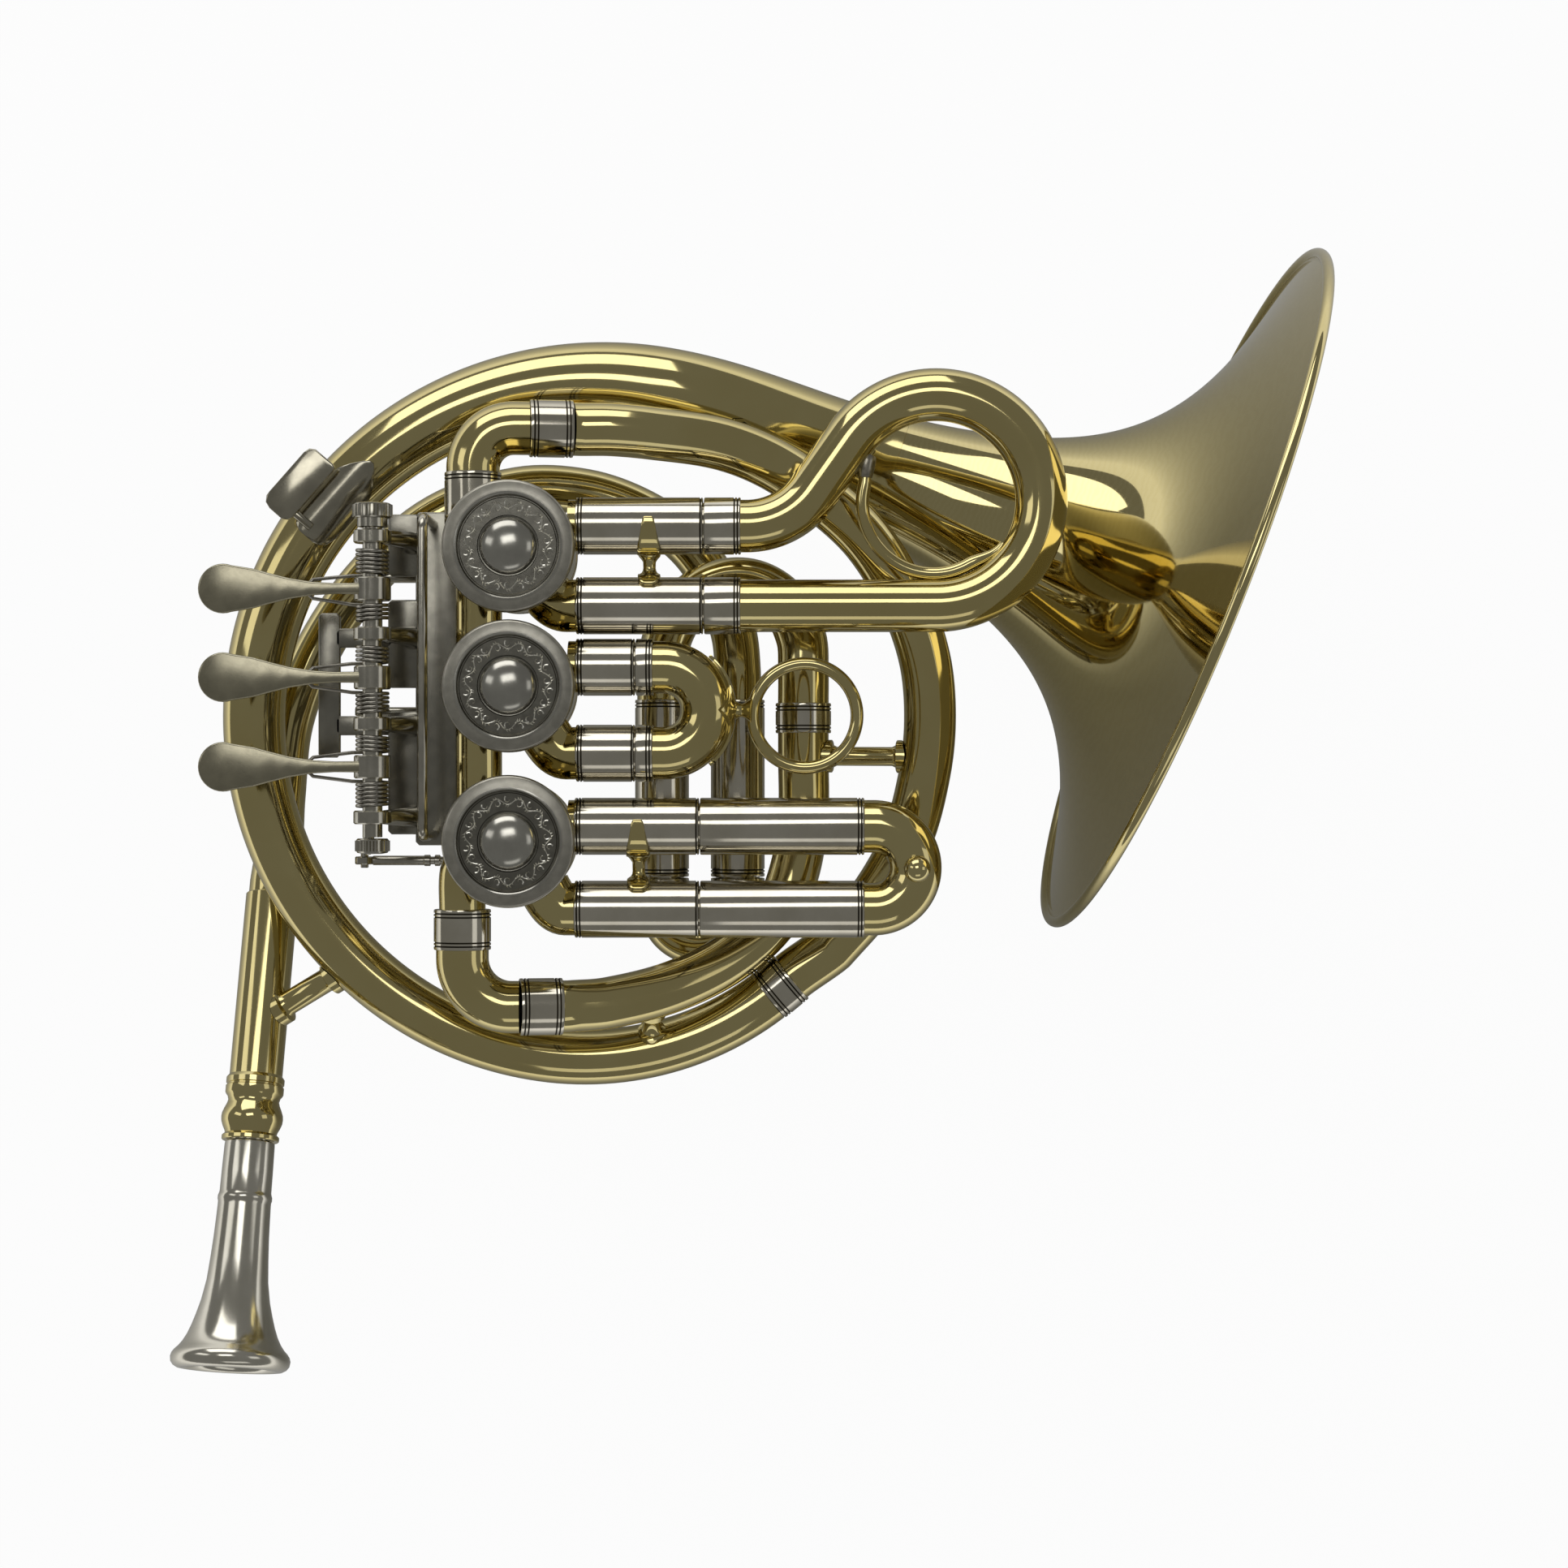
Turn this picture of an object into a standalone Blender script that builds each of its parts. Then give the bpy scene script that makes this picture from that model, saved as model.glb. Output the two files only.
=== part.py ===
"""Pocket horn: a small three-valve horn wound into one loop, seen from its valve side (+Z).

Lengths here are in millimetres and are turned into metres when a shape is made.
X runs to the bell, Y up the instrument, Z toward the valve caps.
"""

import math

import bmesh
import bpy
from mathutils import Matrix, Vector

for old in list(bpy.data.objects):
    bpy.data.objects.remove(old, do_unlink=True)

MM = 0.001
WELD = 1e-6
GAP = 0.3
STEP = 0.05

# The bell and the large loop of its branch
BELL_CENTRE = (94.7, 46.15, -17.5)
BELL_TURN = -20.9
BELL_TILT = -2.4
BELL_RADIUS = 86.0
BELL_THROAT = 5.2
BELL_FLARE = 21.0
BELL_POWER = 1.4
BELL_LENGTH = 75.0
BELL_WALL = 0.9
BELL_BEAD = 1.5
LOOP_CENTRE = (-44.8, 14.8)
LOOP_RADIUS = 78.3
LOOP_START = 80.0
LOOP_END = 305.3
LOOP_CURL = 2.5
CURL_FROM = 262.0

# Tubes
BRANCH_R = 6.0
BOW_R = 5.9
LEAD_R = 5.5
TUNING_R = 5.6
FERRULE_R = 6.45
SOCKET_R = 5.0
SPIGOT_R = 4.7
SPIGOT_LENGTH = 2.6
SLEEVE_R = 6.4
SLEEVE_BORE = 5.5
LEG_R = 5.2
KNUCKLE_SPIGOT = 1.6

# Valves
VALVE_X = -60.5
VALVE_Y = (52.2, 21.5, -12.6)
PORT_Z = 24.0
CASING_R = 13.3
CASING_BORE = 11.2
CASING_Z = (12.3, 38.3)
ROTOR_R = 10.9
STEM_R = 2.5
CRANK_R = 7.0
CRANK_ANGLE = 225.0
CAP_R = 14.6
CAP_Z = 38.6

# Valve slides: upper and lower tube heights, sleeve end, slide ferrule end
SLIDE_Y = ((57.9, 40.0), (26.2, 6.9), (-9.5, -28.1))
SLEEVE_X = (-46.6, -46.6, -46.9)
SLEEVE_END = (-18.2, -33.5, -19.1)
FERRULE_END = (-9.7, -29.3, 18.0)
LEG_DEPTH = (25.6, 10.4, 25.0)
BIG_LOOP_R = 23.7
BIG_LOOP_X = 34.1
CROOK_X = (0.0, -27.0, 20.2)

# Tuning slide
TUNE_X = (-29.0, -11.0)
TUNE_Z = -16.0
TUNE_TOP = 20.0
TUNE_END = -22.0
TUNE_BOW_Y = -28.5

# Mouthpipe
RECEIVER_POINT = (-122.4, -55.2, -4.8)
RECEIVER_AXIS = (-0.044, -0.963, 0.259)
RECEIVER_R = 6.1
RECEIVER_SPAN = (-30.0, 28.5)
SHANK_R = 4.4
SHANK_BORE = 4.7

# Keys
HINGE_X = -91.3
HINGE_Z = 32.0
HINGE_R = 2.2
HUB_R = 4.1
HUB_HALF = 2.6
POST_Y = (54.9, 33.3, 13.3, -7.4)
KEY_Y = (43.2, 23.6, 3.8)
PADDLE_X = -124.0
PADDLE_R = 5.5
PADDLE_Z = (34.0, 35.2)
KEY_PIN = (-96.3, 8.52)
LINK_EYE_R = 2.2
PLATE_X = (-84.0, -74.1)
PLATE_Z = (12.0, 13.5)
SPRING_R = 3.4
SPRING_WIRE = 0.36
SPRING_PITCH = 1.2
SPRING_STEPS = 8

COPPER = (0.62, 0.48, 0.20)
SILVER = (0.72, 0.71, 0.67)
STEEL = (0.60, 0.60, 0.60)

parts = bpy.data.collections.new("pocket_horn")
bpy.context.scene.collection.children.link(parts)


def vec(x, y, z):
    return Vector((x, y, z))


def axes_at(base, axis, side=None):
    """A frame in metres whose Z runs along axis and whose X leans toward side."""
    z = Vector(axis).normalized()
    hint = Vector(side) if side is not None else vec(0, 0, 1)
    if abs(hint.normalized().dot(z)) > 0.95:
        hint = vec(1, 0, 0)
    y = z.cross(hint).normalized()
    x = y.cross(z)
    turn = Matrix((x, y, z)).transposed().to_4x4()
    return Matrix.Translation(Vector(base) * MM) @ turn


def tidy(mesh):
    bm = bmesh.new()
    bm.from_mesh(mesh)
    bmesh.ops.remove_doubles(bm, verts=bm.verts, dist=WELD)
    bmesh.ops.recalc_face_normals(bm, faces=bm.faces)
    bm.to_mesh(mesh)
    bm.free()
    return mesh


def solid(data, matrix=None, setup=None):
    """The finished shape of a curve or mesh with its modifiers, as a plain mesh."""
    obj = bpy.data.objects.new("work", data)
    parts.objects.link(obj)
    if matrix is not None:
        obj.matrix_world = matrix
    if setup is not None:
        setup(obj)
    bpy.context.view_layer.update()
    graph = bpy.context.evaluated_depsgraph_get()
    mesh = bpy.data.meshes.new_from_object(obj.evaluated_get(graph))
    mesh.transform(obj.matrix_world)
    bpy.data.objects.remove(obj, do_unlink=True)
    return tidy(mesh)


def boolean(mesh, tool, operation):
    helper = bpy.data.objects.new("cutter", tool)
    helper.display_type = "WIRE"
    helper.hide_render = True
    parts.objects.link(helper)

    def setup(obj):
        mod = obj.modifiers.new("Boolean", "BOOLEAN")
        mod.operation = operation
        mod.solver = "EXACT"
        mod.object = helper

    result = solid(mesh, None, setup)
    bpy.data.objects.remove(helper, do_unlink=True)
    return result


def fuse(first, *rest):
    for other in rest:
        first = boolean(first, other, "UNION")
    return first


def cut(first, *rest):
    for other in rest:
        first = boolean(first, other, "DIFFERENCE")
    return first


def keep(first, other):
    return boolean(first, other, "INTERSECT")


def lathe(profile, base, axis, steps, ring=False):
    """A turned shape: (radius, height) points, turned round axis from base."""
    mesh = bpy.data.meshes.new("profile")
    points = [(r * MM, 0.0, h * MM) for r, h in profile]
    edges = [(i, i + 1) for i in range(len(points) - 1)]
    if ring:
        edges.append((len(points) - 1, 0))
    mesh.from_pydata(points, edges, [])

    def setup(obj):
        mod = obj.modifiers.new("Screw", "SCREW")
        mod.axis = "Z"
        mod.angle = math.tau
        mod.steps = steps
        mod.render_steps = steps
        mod.use_merge_vertices = True
        mod.merge_threshold = 0.00001

    return solid(mesh, axes_at(base, axis), setup)


def rod(start, end, radius, steps=16):
    start, end = Vector(start), Vector(end)
    length = (end - start).length
    profile = [(0, length), (radius, length), (radius, 0), (0, 0)]
    return lathe(profile, start, end - start, steps)


def pipe(start, end, radius, bore, steps=20):
    start, end = Vector(start), Vector(end)
    length = (end - start).length
    profile = [(radius, length), (radius, 0), (bore, 0), (bore, length)]
    return lathe(profile, start, end - start, steps, ring=True)


def ball(centre, radius, steps=12):
    arc = [math.radians(a) for a in range(90, -91, -30)]
    profile = [(abs(radius * math.cos(a)) if abs(math.cos(a)) > 1e-6 else 0, radius * math.sin(a))
               for a in arc]
    return lathe(profile, centre, (0, 0, 1), steps)


def block(centre, size, matrix=None):
    mesh = bpy.data.meshes.new("block")
    bm = bmesh.new()
    place = matrix if matrix is not None else Matrix.Identity(4)
    place = place @ Matrix.Translation(Vector(centre) * MM) @ Matrix.Diagonal((*(Vector(size) * MM), 1))
    bmesh.ops.create_cube(bm, size=1.0, matrix=place)
    bm.to_mesh(mesh)
    bm.free()
    return tidy(mesh)


def plate(outline, low, high, matrix=None):
    """A flat outline (X, Y) given thickness between two heights."""
    data = bpy.data.curves.new("outline", "CURVE")
    data.dimensions = "2D"
    data.fill_mode = "BOTH"
    data.extrude = (high - low) / 2 * MM
    spline = data.splines.new("POLY")
    spline.points.add(len(outline) - 1)
    for point, (x, y) in zip(spline.points, outline):
        point.co = (x * MM, y * MM, 0, 1)
    spline.use_cyclic_u = True
    lift = Matrix.Translation((0, 0, (low + high) / 2 * MM))
    place = matrix if matrix is not None else Matrix.Identity(4)
    return solid(data, place @ lift)


def tube(points, radii, resolution=3):
    """A round bar that follows the points; radii is one number or one for each point."""
    if not isinstance(radii, (list, tuple)):
        radii = [radii] * len(points)
    data = bpy.data.curves.new("run", "CURVE")
    data.dimensions = "3D"
    data.bevel_depth = MM
    data.bevel_resolution = resolution
    data.use_fill_caps = True
    spline = data.splines.new("POLY")
    spline.points.add(len(points) - 1)
    for point, place, radius in zip(spline.points, points, radii):
        point.co = (*(Vector(place) * MM), 1)
        point.radius = radius
    return solid(data)


def arc(centre, radius, first, last, count, z=PORT_Z):
    run = []
    for i in range(count + 1):
        a = math.radians(first + (last - first) * i / count)
        run.append(vec(centre[0] + radius * math.cos(a), centre[1] + radius * math.sin(a), z))
    return run


def blend(p0, t0, p1, t1, count):
    """A smooth run from p0 to p1 that leaves along t0 and arrives along t1."""
    p0, p1, t0, t1 = Vector(p0), Vector(p1), Vector(t0), Vector(t1)
    run = []
    for i in range(count + 1):
        u = i / count
        a = 2 * u ** 3 - 3 * u ** 2 + 1
        b = u ** 3 - 2 * u ** 2 + u
        c = -2 * u ** 3 + 3 * u ** 2
        d = u ** 3 - u ** 2
        run.append(p0 * a + t0 * b + p1 * c + t1 * d)
    return run


def smooth(points, per_span=2):
    """A smooth run through every point."""
    points = [Vector(p) for p in points]
    slopes = []
    for i, point in enumerate(points):
        before = points[max(i - 1, 0)]
        after = points[min(i + 1, len(points) - 1)]
        slopes.append((after - before).normalized())
    run = [points[0]]
    for i in range(len(points) - 1):
        span = (points[i + 1] - points[i]).length
        run += blend(points[i], slopes[i] * span, points[i + 1], slopes[i + 1] * span, per_span)[1:]
    return run


def join(*runs):
    out = []
    for run in runs:
        for point in run:
            if not out or (Vector(point) - out[-1]).length > 0.02:
                out.append(Vector(point))
    return out


def lengths(points):
    out = [0.0]
    for a, b in zip(points, points[1:]):
        out.append(out[-1] + (b - a).length)
    return out


def shorten(points, distance):
    """The run with this much taken off its far end."""
    points = list(points)
    while True:
        last, before = points[-1], points[-2]
        span = (last - before).length
        if span > distance + 0.3:
            points[-1] = last + (before - last) * (distance / span)
            return points
        distance -= span
        points.pop()
        if distance < 0:
            direction = (points[-1] - points[-2]).normalized()
            points[-1] = points[-1] + direction * (-distance)
            return points


def with_spigot(points, radii, length=SPIGOT_LENGTH, radius=SPIGOT_R):
    """The run ends in a thinner spigot that enters the next piece."""
    end = points[-1]
    body = shorten(points, length)
    direction = (end - body[-1]).normalized()
    kept = list(radii[:len(body)])
    return body + [body[-1] + direction * STEP, end], kept + [radius, radius]


def run_between(points, radii, start=True, end=True, radius=SPIGOT_R, length=SPIGOT_LENGTH):
    """Points and radii with a spigot at either end."""
    points = [Vector(p) for p in points]
    if not isinstance(radii, list):
        radii = [radii] * len(points)
    if end:
        points, radii = with_spigot(points, radii, length, radius)
    if start:
        points, radii = with_spigot(points[::-1], radii[::-1], length, radius)
        points, radii = points[::-1], radii[::-1]
    return points, radii


def paint(name, colour, metallic=1.0, roughness=0.25):
    material = bpy.data.materials.new(name)
    material.use_nodes = True
    shader = material.node_tree.nodes["Principled BSDF"]
    shader.inputs["Base Color"].default_value = (*colour, 1)
    shader.inputs["Metallic"].default_value = metallic
    shader.inputs["Roughness"].default_value = roughness
    material.diffuse_color = (*colour, 1)
    return material


def part(name, mesh, colour, origin=None, roughness=0.25):
    mesh.name = name
    mesh.materials.clear()
    mesh.materials.append(paint(name, colour, 1.0, roughness))
    obj = bpy.data.objects.new(name, mesh)
    parts.objects.link(obj)
    if origin is not None:
        place = Vector(origin) * MM
        mesh.transform(Matrix.Translation(-place))
        obj.location = place
    return obj


def ferrule(name, start, end, radius=FERRULE_R, bore=SOCKET_R):
    part(name, pipe(start, end, radius, bore), SILVER)


def brace(name, a, a_axis, a_radius, b, b_axis, b_radius, radius, flange, colour=COPPER):
    """A rod between two tubes, with a saddle flange on each."""
    a, b = Vector(a), Vector(b)
    along = (b - a).normalized()
    body = rod(a, b, radius, 10)
    for centre, size, way in ((a, a_radius, along), (b, b_radius, -along)):
        foot = centre + way * (size - 2.2)
        body = fuse(body, rod(foot, centre + way * (size + 1.3), flange, 10))
    for centre, axis, size in ((a, a_axis, a_radius), (b, b_axis, b_radius)):
        reach = Vector(axis).normalized() * 12
        body = cut(body, rod(centre - reach, centre + reach, size + GAP + 0.05, 16))
    part(name, body, colour)


# Bell
turn, tilt = math.radians(BELL_TURN), math.radians(BELL_TILT)
MOUTH = vec(math.cos(tilt) * math.cos(turn), math.cos(tilt) * math.sin(turn), math.sin(tilt))
MOUTH_POINT = Vector(BELL_CENTRE)


def bell_radius(s):
    reach = BELL_RADIUS - BELL_THROAT
    return BELL_THROAT + reach * (BELL_FLARE / (s + BELL_FLARE)) ** BELL_POWER


def bell():
    stations = (1.4, 3.4, 6.4, 10.6, 16, 24, 34, 46, 60, BELL_LENGTH)
    outer = [(bell_radius(s), -s) for s in stations]
    inner = [(r - BELL_WALL * (1 + 1.2 / (1 + s / 9)), -s) for (r, _), s in zip(outer, stations)]
    inner[-1] = (inner[-1][0], -BELL_LENGTH)
    bead = []
    for i in range(6):
        a = math.radians(-75 + 210 * i / 5)
        bead.append((BELL_RADIUS - BELL_BEAD + BELL_BEAD * math.cos(a), BELL_BEAD * math.sin(a)))
    bead.append((BELL_RADIUS - 2.6 * BELL_BEAD, -0.2))
    profile = outer[::-1] + bead + inner
    return lathe(profile, MOUTH_POINT, MOUTH, 36, ring=True)


part("bell", bell(), COPPER)

throat = MOUTH_POINT - MOUTH * (BELL_LENGTH + GAP)


def loop_spot(angle):
    """A point of the loop's centre line, which curls inward over its last part."""
    a = math.radians(angle)
    curl = max(0.0, (angle - CURL_FROM) / (LOOP_END - CURL_FROM)) ** 2
    r = LOOP_RADIUS - LOOP_CURL * curl
    return vec(LOOP_CENTRE[0] + r * math.cos(a), LOOP_CENTRE[1] + r * math.sin(a), 0)


loop_start = loop_spot(LOOP_START)
loop_way = (loop_spot(LOOP_START + 1) - loop_spot(LOOP_START - 1)).normalized()
reach = (loop_start - throat).length
neck = join([throat], blend(throat - MOUTH * 1.5, -MOUTH * reach, loop_start, loop_way * reach, 9))
LOOP_STEPS = 32
branch_run = join(neck, [loop_spot(LOOP_START + (LOOP_END - LOOP_START) * i / LOOP_STEPS)
                         for i in range(LOOP_STEPS + 1)])
branch_end = branch_run[-1]
end_way = (branch_run[-1] - branch_run[-2]).normalized()
branch_radii = [bell_radius(BELL_LENGTH + s) for s in lengths(branch_run)]


def loop_point(angle):
    """The point, the way and the radius of the bell branch at this angle of its loop."""
    way = (loop_spot(angle + 1) - loop_spot(angle - 1)).normalized()
    travelled = lengths(neck)[-1] + LOOP_RADIUS * math.radians(angle - LOOP_START)
    return loop_spot(angle), way, bell_radius(BELL_LENGTH + travelled)


FERRULE_HALF = 3.5
points, radii = run_between(shorten(branch_run, GAP), branch_radii, start=False, length=FERRULE_HALF)
branch = tube(points, radii)
mouth_r = bell_radius(BELL_LENGTH) - 1.6
bore = lathe([(0, 3), (mouth_r + 0.2, 3), (mouth_r + 0.2, 0), (mouth_r - 2.4, -14), (0, -26)],
             throat, MOUTH, 20)
part("bell_branch", cut(branch, bore), COPPER)

ferrule("branch_ferrule", branch_end - end_way * FERRULE_HALF, branch_end + end_way * FERRULE_HALF)

# Inner branch: from the ferrule up inside the loop to the first valve
top_turn_r = 9.1
top_x = VALVE_X - 9.3
top_y = VALVE_Y[0] + 18.6
top_line = top_y + top_turn_r
inner_points = [(-45.6, top_line, 21.8), (-39, top_line, 21.4), (-30.4, top_line - 0.6, 20),
                (-14.7, 77.4, 16), (-3, 73.2, 13), (8.1, 65.9, 11.2), (19.1, 55.8, 10.5),
                (27.6, 42.1, 9), (32.3, 29.1, 7), (33.7, 16.1, 5), (32.6, 3, 4),
                (28.4, -13, 2), (20.5, -27.1, 1), (11.1, -38.1, 0)]
inner_run = smooth(inner_points, 2)
arrive = branch_end + end_way * (FERRULE_HALF + 1.2)
inner_run = join(inner_run, blend(inner_points[-1], -end_way * 8, arrive, -end_way * 8, 2), [branch_end])
top_f0, top_f1 = vec(-57.2, top_line, PORT_Z - 0.4), vec(-47.5, top_line, 22.2)
top_mid = (top_f0 + top_f1) / 2
top_way = (top_f1 - top_f0).normalized()
inner_run = join([top_mid + top_way * GAP], inner_run)
points, radii = run_between(shorten(inner_run, GAP), BRANCH_R, start=False, length=FERRULE_HALF)
points, radii = points[::-1], radii[::-1]
points, radii = with_spigot(points, radii, (top_f1 - top_mid).length)
part("inner_branch", tube(points, radii), COPPER)
ferrule("top_ferrule", top_f0, top_f1)

collar_top = top_y - 0.9
elbow = join([vec(top_x, collar_top - 2.5, PORT_Z)],
             arc((top_x + top_turn_r, top_y), top_turn_r, 180, 90, 8),
             [top_f0 - top_way * 1.2, top_mid - top_way * GAP])
points, radii = run_between(elbow, BRANCH_R, start=True, end=False, length=2.5 + GAP)
points, radii = with_spigot(points, radii, (top_mid - top_f0).length)
part("top_elbow", tube(points, radii), COPPER)


def casing_space(i):
    """What a piece that meets a valve casing is cut back by."""
    y = VALVE_Y[i]
    return rod((VALVE_X, y, 0), (VALVE_X, y, 60), CASING_R + GAP, 48)


collar = rod((top_x, VALVE_Y[0] + 6, PORT_Z), (top_x, collar_top, PORT_Z), SLEEVE_R, 20)
collar = cut(collar, rod((top_x, VALVE_Y[0] + 4, PORT_Z), (top_x, top_y + 3, PORT_Z), SOCKET_R, 24),
             casing_space(0))
part("top_collar", collar, SILVER)

# Lower elbow after the third valve
low_x = VALVE_X - 11.7
low_top = VALVE_Y[2] - 15.5
low_end = VALVE_Y[2] - 24.6
low_turn = 11.0
low_arc_y = low_end - 1.9
low_line = low_arc_y - low_turn
ferrule("bottom_collar", (low_x, low_end, PORT_Z), (low_x, low_top, PORT_Z), SLEEVE_R)
bottom_f0, bottom_f1 = vec(-59.4, low_line, PORT_Z - 0.1), vec(-49.9, low_line, 22.2)
bottom_mid = (bottom_f0 + bottom_f1) / 2
bottom_way = (bottom_f1 - bottom_f0).normalized()
elbow = join([vec(low_x, low_end + 2.6, PORT_Z)],
             arc((low_x + low_turn, low_arc_y), low_turn, 180, 270, 8),
             [bottom_f0 - bottom_way * 1.2, bottom_mid - bottom_way * GAP])
points, radii = run_between(elbow, BOW_R, start=True, end=False, length=2.6 + GAP)
points, radii = with_spigot(points, radii, (bottom_mid - bottom_f0).length)
part("bottom_elbow", tube(points, radii), COPPER)
ferrule("bottom_ferrule", bottom_f0, bottom_f1)

# Lower branch, side ferrule and the bow over to the tuning slide
side_x = 4.5
side_low, side_high = 11.8, 18.8
lower_points = [bottom_f1 + bottom_way * 1.2, (-39.7, -49.6, 18), (-25.2, -46.2, 12), (-12.3, -40, 6),
                (-2.1, -30.8, 2), (2.6, -19.6, 0), (side_x, -6.4, 0), (side_x, 6, 0)]
lower_run = join([bottom_mid + bottom_way * GAP],
                 smooth(lower_points, 3), [vec(side_x, side_low + 3.2, 0)])
points, radii = run_between(lower_run, BOW_R, start=False, length=3.2 + GAP)
points, radii = points[::-1], radii[::-1]
points, radii = with_spigot(points, radii, (bottom_f1 - bottom_mid).length)
part("lower_branch", tube(points, radii), COPPER)
ferrule("side_ferrule", (side_x, side_low, 0), (side_x, side_high, 0))

left_x, right_x = TUNE_X
bow_points = [(side_x, side_high + GAP, 0), (side_x, 26, 0), (4, 34, -0.5), (0, 42, -1.5), (-7, 46.5, -2.5),
              (-15, 46.5, -2.6), (-22, 43, -5.6), (-27, 36, -10.8), (left_x, 28, -15), (left_x, TUNE_TOP + 1, TUNE_Z)]
bow_run = join([vec(side_x, side_high - 3, 0)], smooth(bow_points, 2), [vec(left_x, TUNE_TOP - 1.6, TUNE_Z)])
points, radii = run_between(bow_run, BOW_R, start=True, end=False, length=3.0 + GAP)
points, radii = with_spigot(points, radii, 1.6 + GAP)
part("upper_bow", tube(points, radii), COPPER)

for side, x in (("left", left_x), ("right", right_x)):
    sleeve = pipe((x, TUNE_END, TUNE_Z), (x, TUNE_TOP, TUNE_Z), SLEEVE_R, SLEEVE_BORE)
    part("tuning_sleeve_" + side, sleeve, SILVER)

middle = (left_x + right_x) / 2
half = (right_x - left_x) / 2
leg_top = TUNE_TOP - 4
bow = arc((middle, TUNE_BOW_Y), half, 180, 360, 14, TUNE_Z)
run = [vec(left_x, leg_top, TUNE_Z), vec(left_x, TUNE_END - GAP, TUNE_Z)]
run += [vec(left_x, TUNE_END - GAP - STEP, TUNE_Z), vec(left_x, TUNE_END - 3.5, TUNE_Z)]
run += [vec(left_x, TUNE_END - 3.5 - STEP, TUNE_Z)] + bow
run += [vec(right_x, TUNE_END - 3.5 - STEP, TUNE_Z), vec(right_x, TUNE_END - 3.5, TUNE_Z)]
run += [vec(right_x, TUNE_END - GAP - STEP, TUNE_Z), vec(right_x, TUNE_END - GAP, TUNE_Z)]
run += [vec(right_x, leg_top, TUNE_Z)]
radii = [LEG_R] * 2 + [SLEEVE_R] * 2 + [TUNING_R] * (len(bow) + 2) + [SLEEVE_R] * 2 + [LEG_R] * 2
part("tuning_slide", tube(run, radii), COPPER)

# Lead pipe, receiver and mouthpiece
toward = Vector(RECEIVER_AXIS).normalized()
hold = Vector(RECEIVER_POINT)


def along_receiver(t):
    return hold + toward * t


top_t, mouth_t = RECEIVER_SPAN
lead_points = [along_receiver(top_t - 3), (-119.6, -14, -14), (-119, -3, -14), (-117, 15, -14),
               (-110, 33, -15), (-98, 50, -15), (-82, 63.5, -15), (-63, 69.8, -15), (-47, 69.3, -15),
               (-33.5, 64.5, -15.3), (-23, 57, -16), (-16, 47, -16.6), (-12, 36, -16.4),
               (right_x, 27, TUNE_Z), (right_x, TUNE_TOP + GAP, TUNE_Z)]
lead_run = join([along_receiver(top_t + 4)], smooth(lead_points, 2), [vec(right_x, TUNE_TOP - 1.6, TUNE_Z)])
points, radii = run_between(lead_run, LEAD_R, start=True, end=False, radius=4.5, length=4 + GAP)
points, radii = with_spigot(points, radii, 1.6 + GAP)
part("lead_pipe", tube(points, radii), COPPER)

socket = 4.8
profile = [(socket, -30), (RECEIVER_R, -30), (RECEIVER_R, 13.6), (6.7, 14.0), (6.7, 17.6), (6.1, 18.2),
           (5.9, 19.6), (6.9, 21.6), (7.1, 23.2), (6.9, 24.8), (5.9, 26.8), (6.6, 27.2), (6.6, 28.5),
           (SHANK_BORE, 28.5), (SHANK_BORE, 13.5), (3.4, 13.5), (3.4, -24.5), (socket, -24.5)]
shift = RECEIVER_SPAN[0] + 30
profile = [(r, h + shift) for r, h in profile]
part("receiver", lathe(profile, hold, toward, 16, ring=True), COPPER)

outside = [(2.6, -12), (4.1, -12), (SHANK_R, 0), (5.7, 0), (6.2, 15), (6.3, 22), (7.0, 32), (7.9, 36.8),
           (9.2, 41.2), (10.8, 45.2), (12.0, 47.2), (13.3, 48.3), (13.6, 49.8), (12.8, 51.5), (11.3, 52.0),
           (9.9, 51.5)]
inside = [(8.9, 49.6), (8.0, 43), (6.0, 37), (2.2, 29.5), (1.9, 26)]
rest = along_receiver(mouth_t + GAP)
part("mouthpiece", lathe(outside + inside, rest, toward, 20, ring=True), SILVER, origin=rest)

# Valves
CONNECT_R = 5.2


def knuckle(i, y, lower):
    """A port tube from the casing to the mouth of its slide sleeve."""
    centre = VALVE_Y[i]
    x_end = SLEEVE_X[i]
    if lower:
        drop = centre - y
        a = vec(VALVE_X + 4.5, centre - 5.5, PORT_Z)
        b = vec(x_end - 2.2, y, PORT_Z)
        run = blend(a, vec(5.5, -1.4 * (drop - 5.5), 0), b, vec(8.5, 0, 0), 7)
        run.append(vec(x_end - GAP, y, PORT_Z))
    else:
        run = [vec(VALVE_X + 6, y, PORT_Z), vec(x_end - GAP, y, PORT_Z)]
    run = [Vector(p) for p in run] + [vec(x_end - GAP + STEP, y, PORT_Z), vec(x_end + KNUCKLE_SPIGOT, y, PORT_Z)]
    radii = [BOW_R] * (len(run) - 2) + [LEG_R - 0.1] * 2
    return tube(run, radii)


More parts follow.
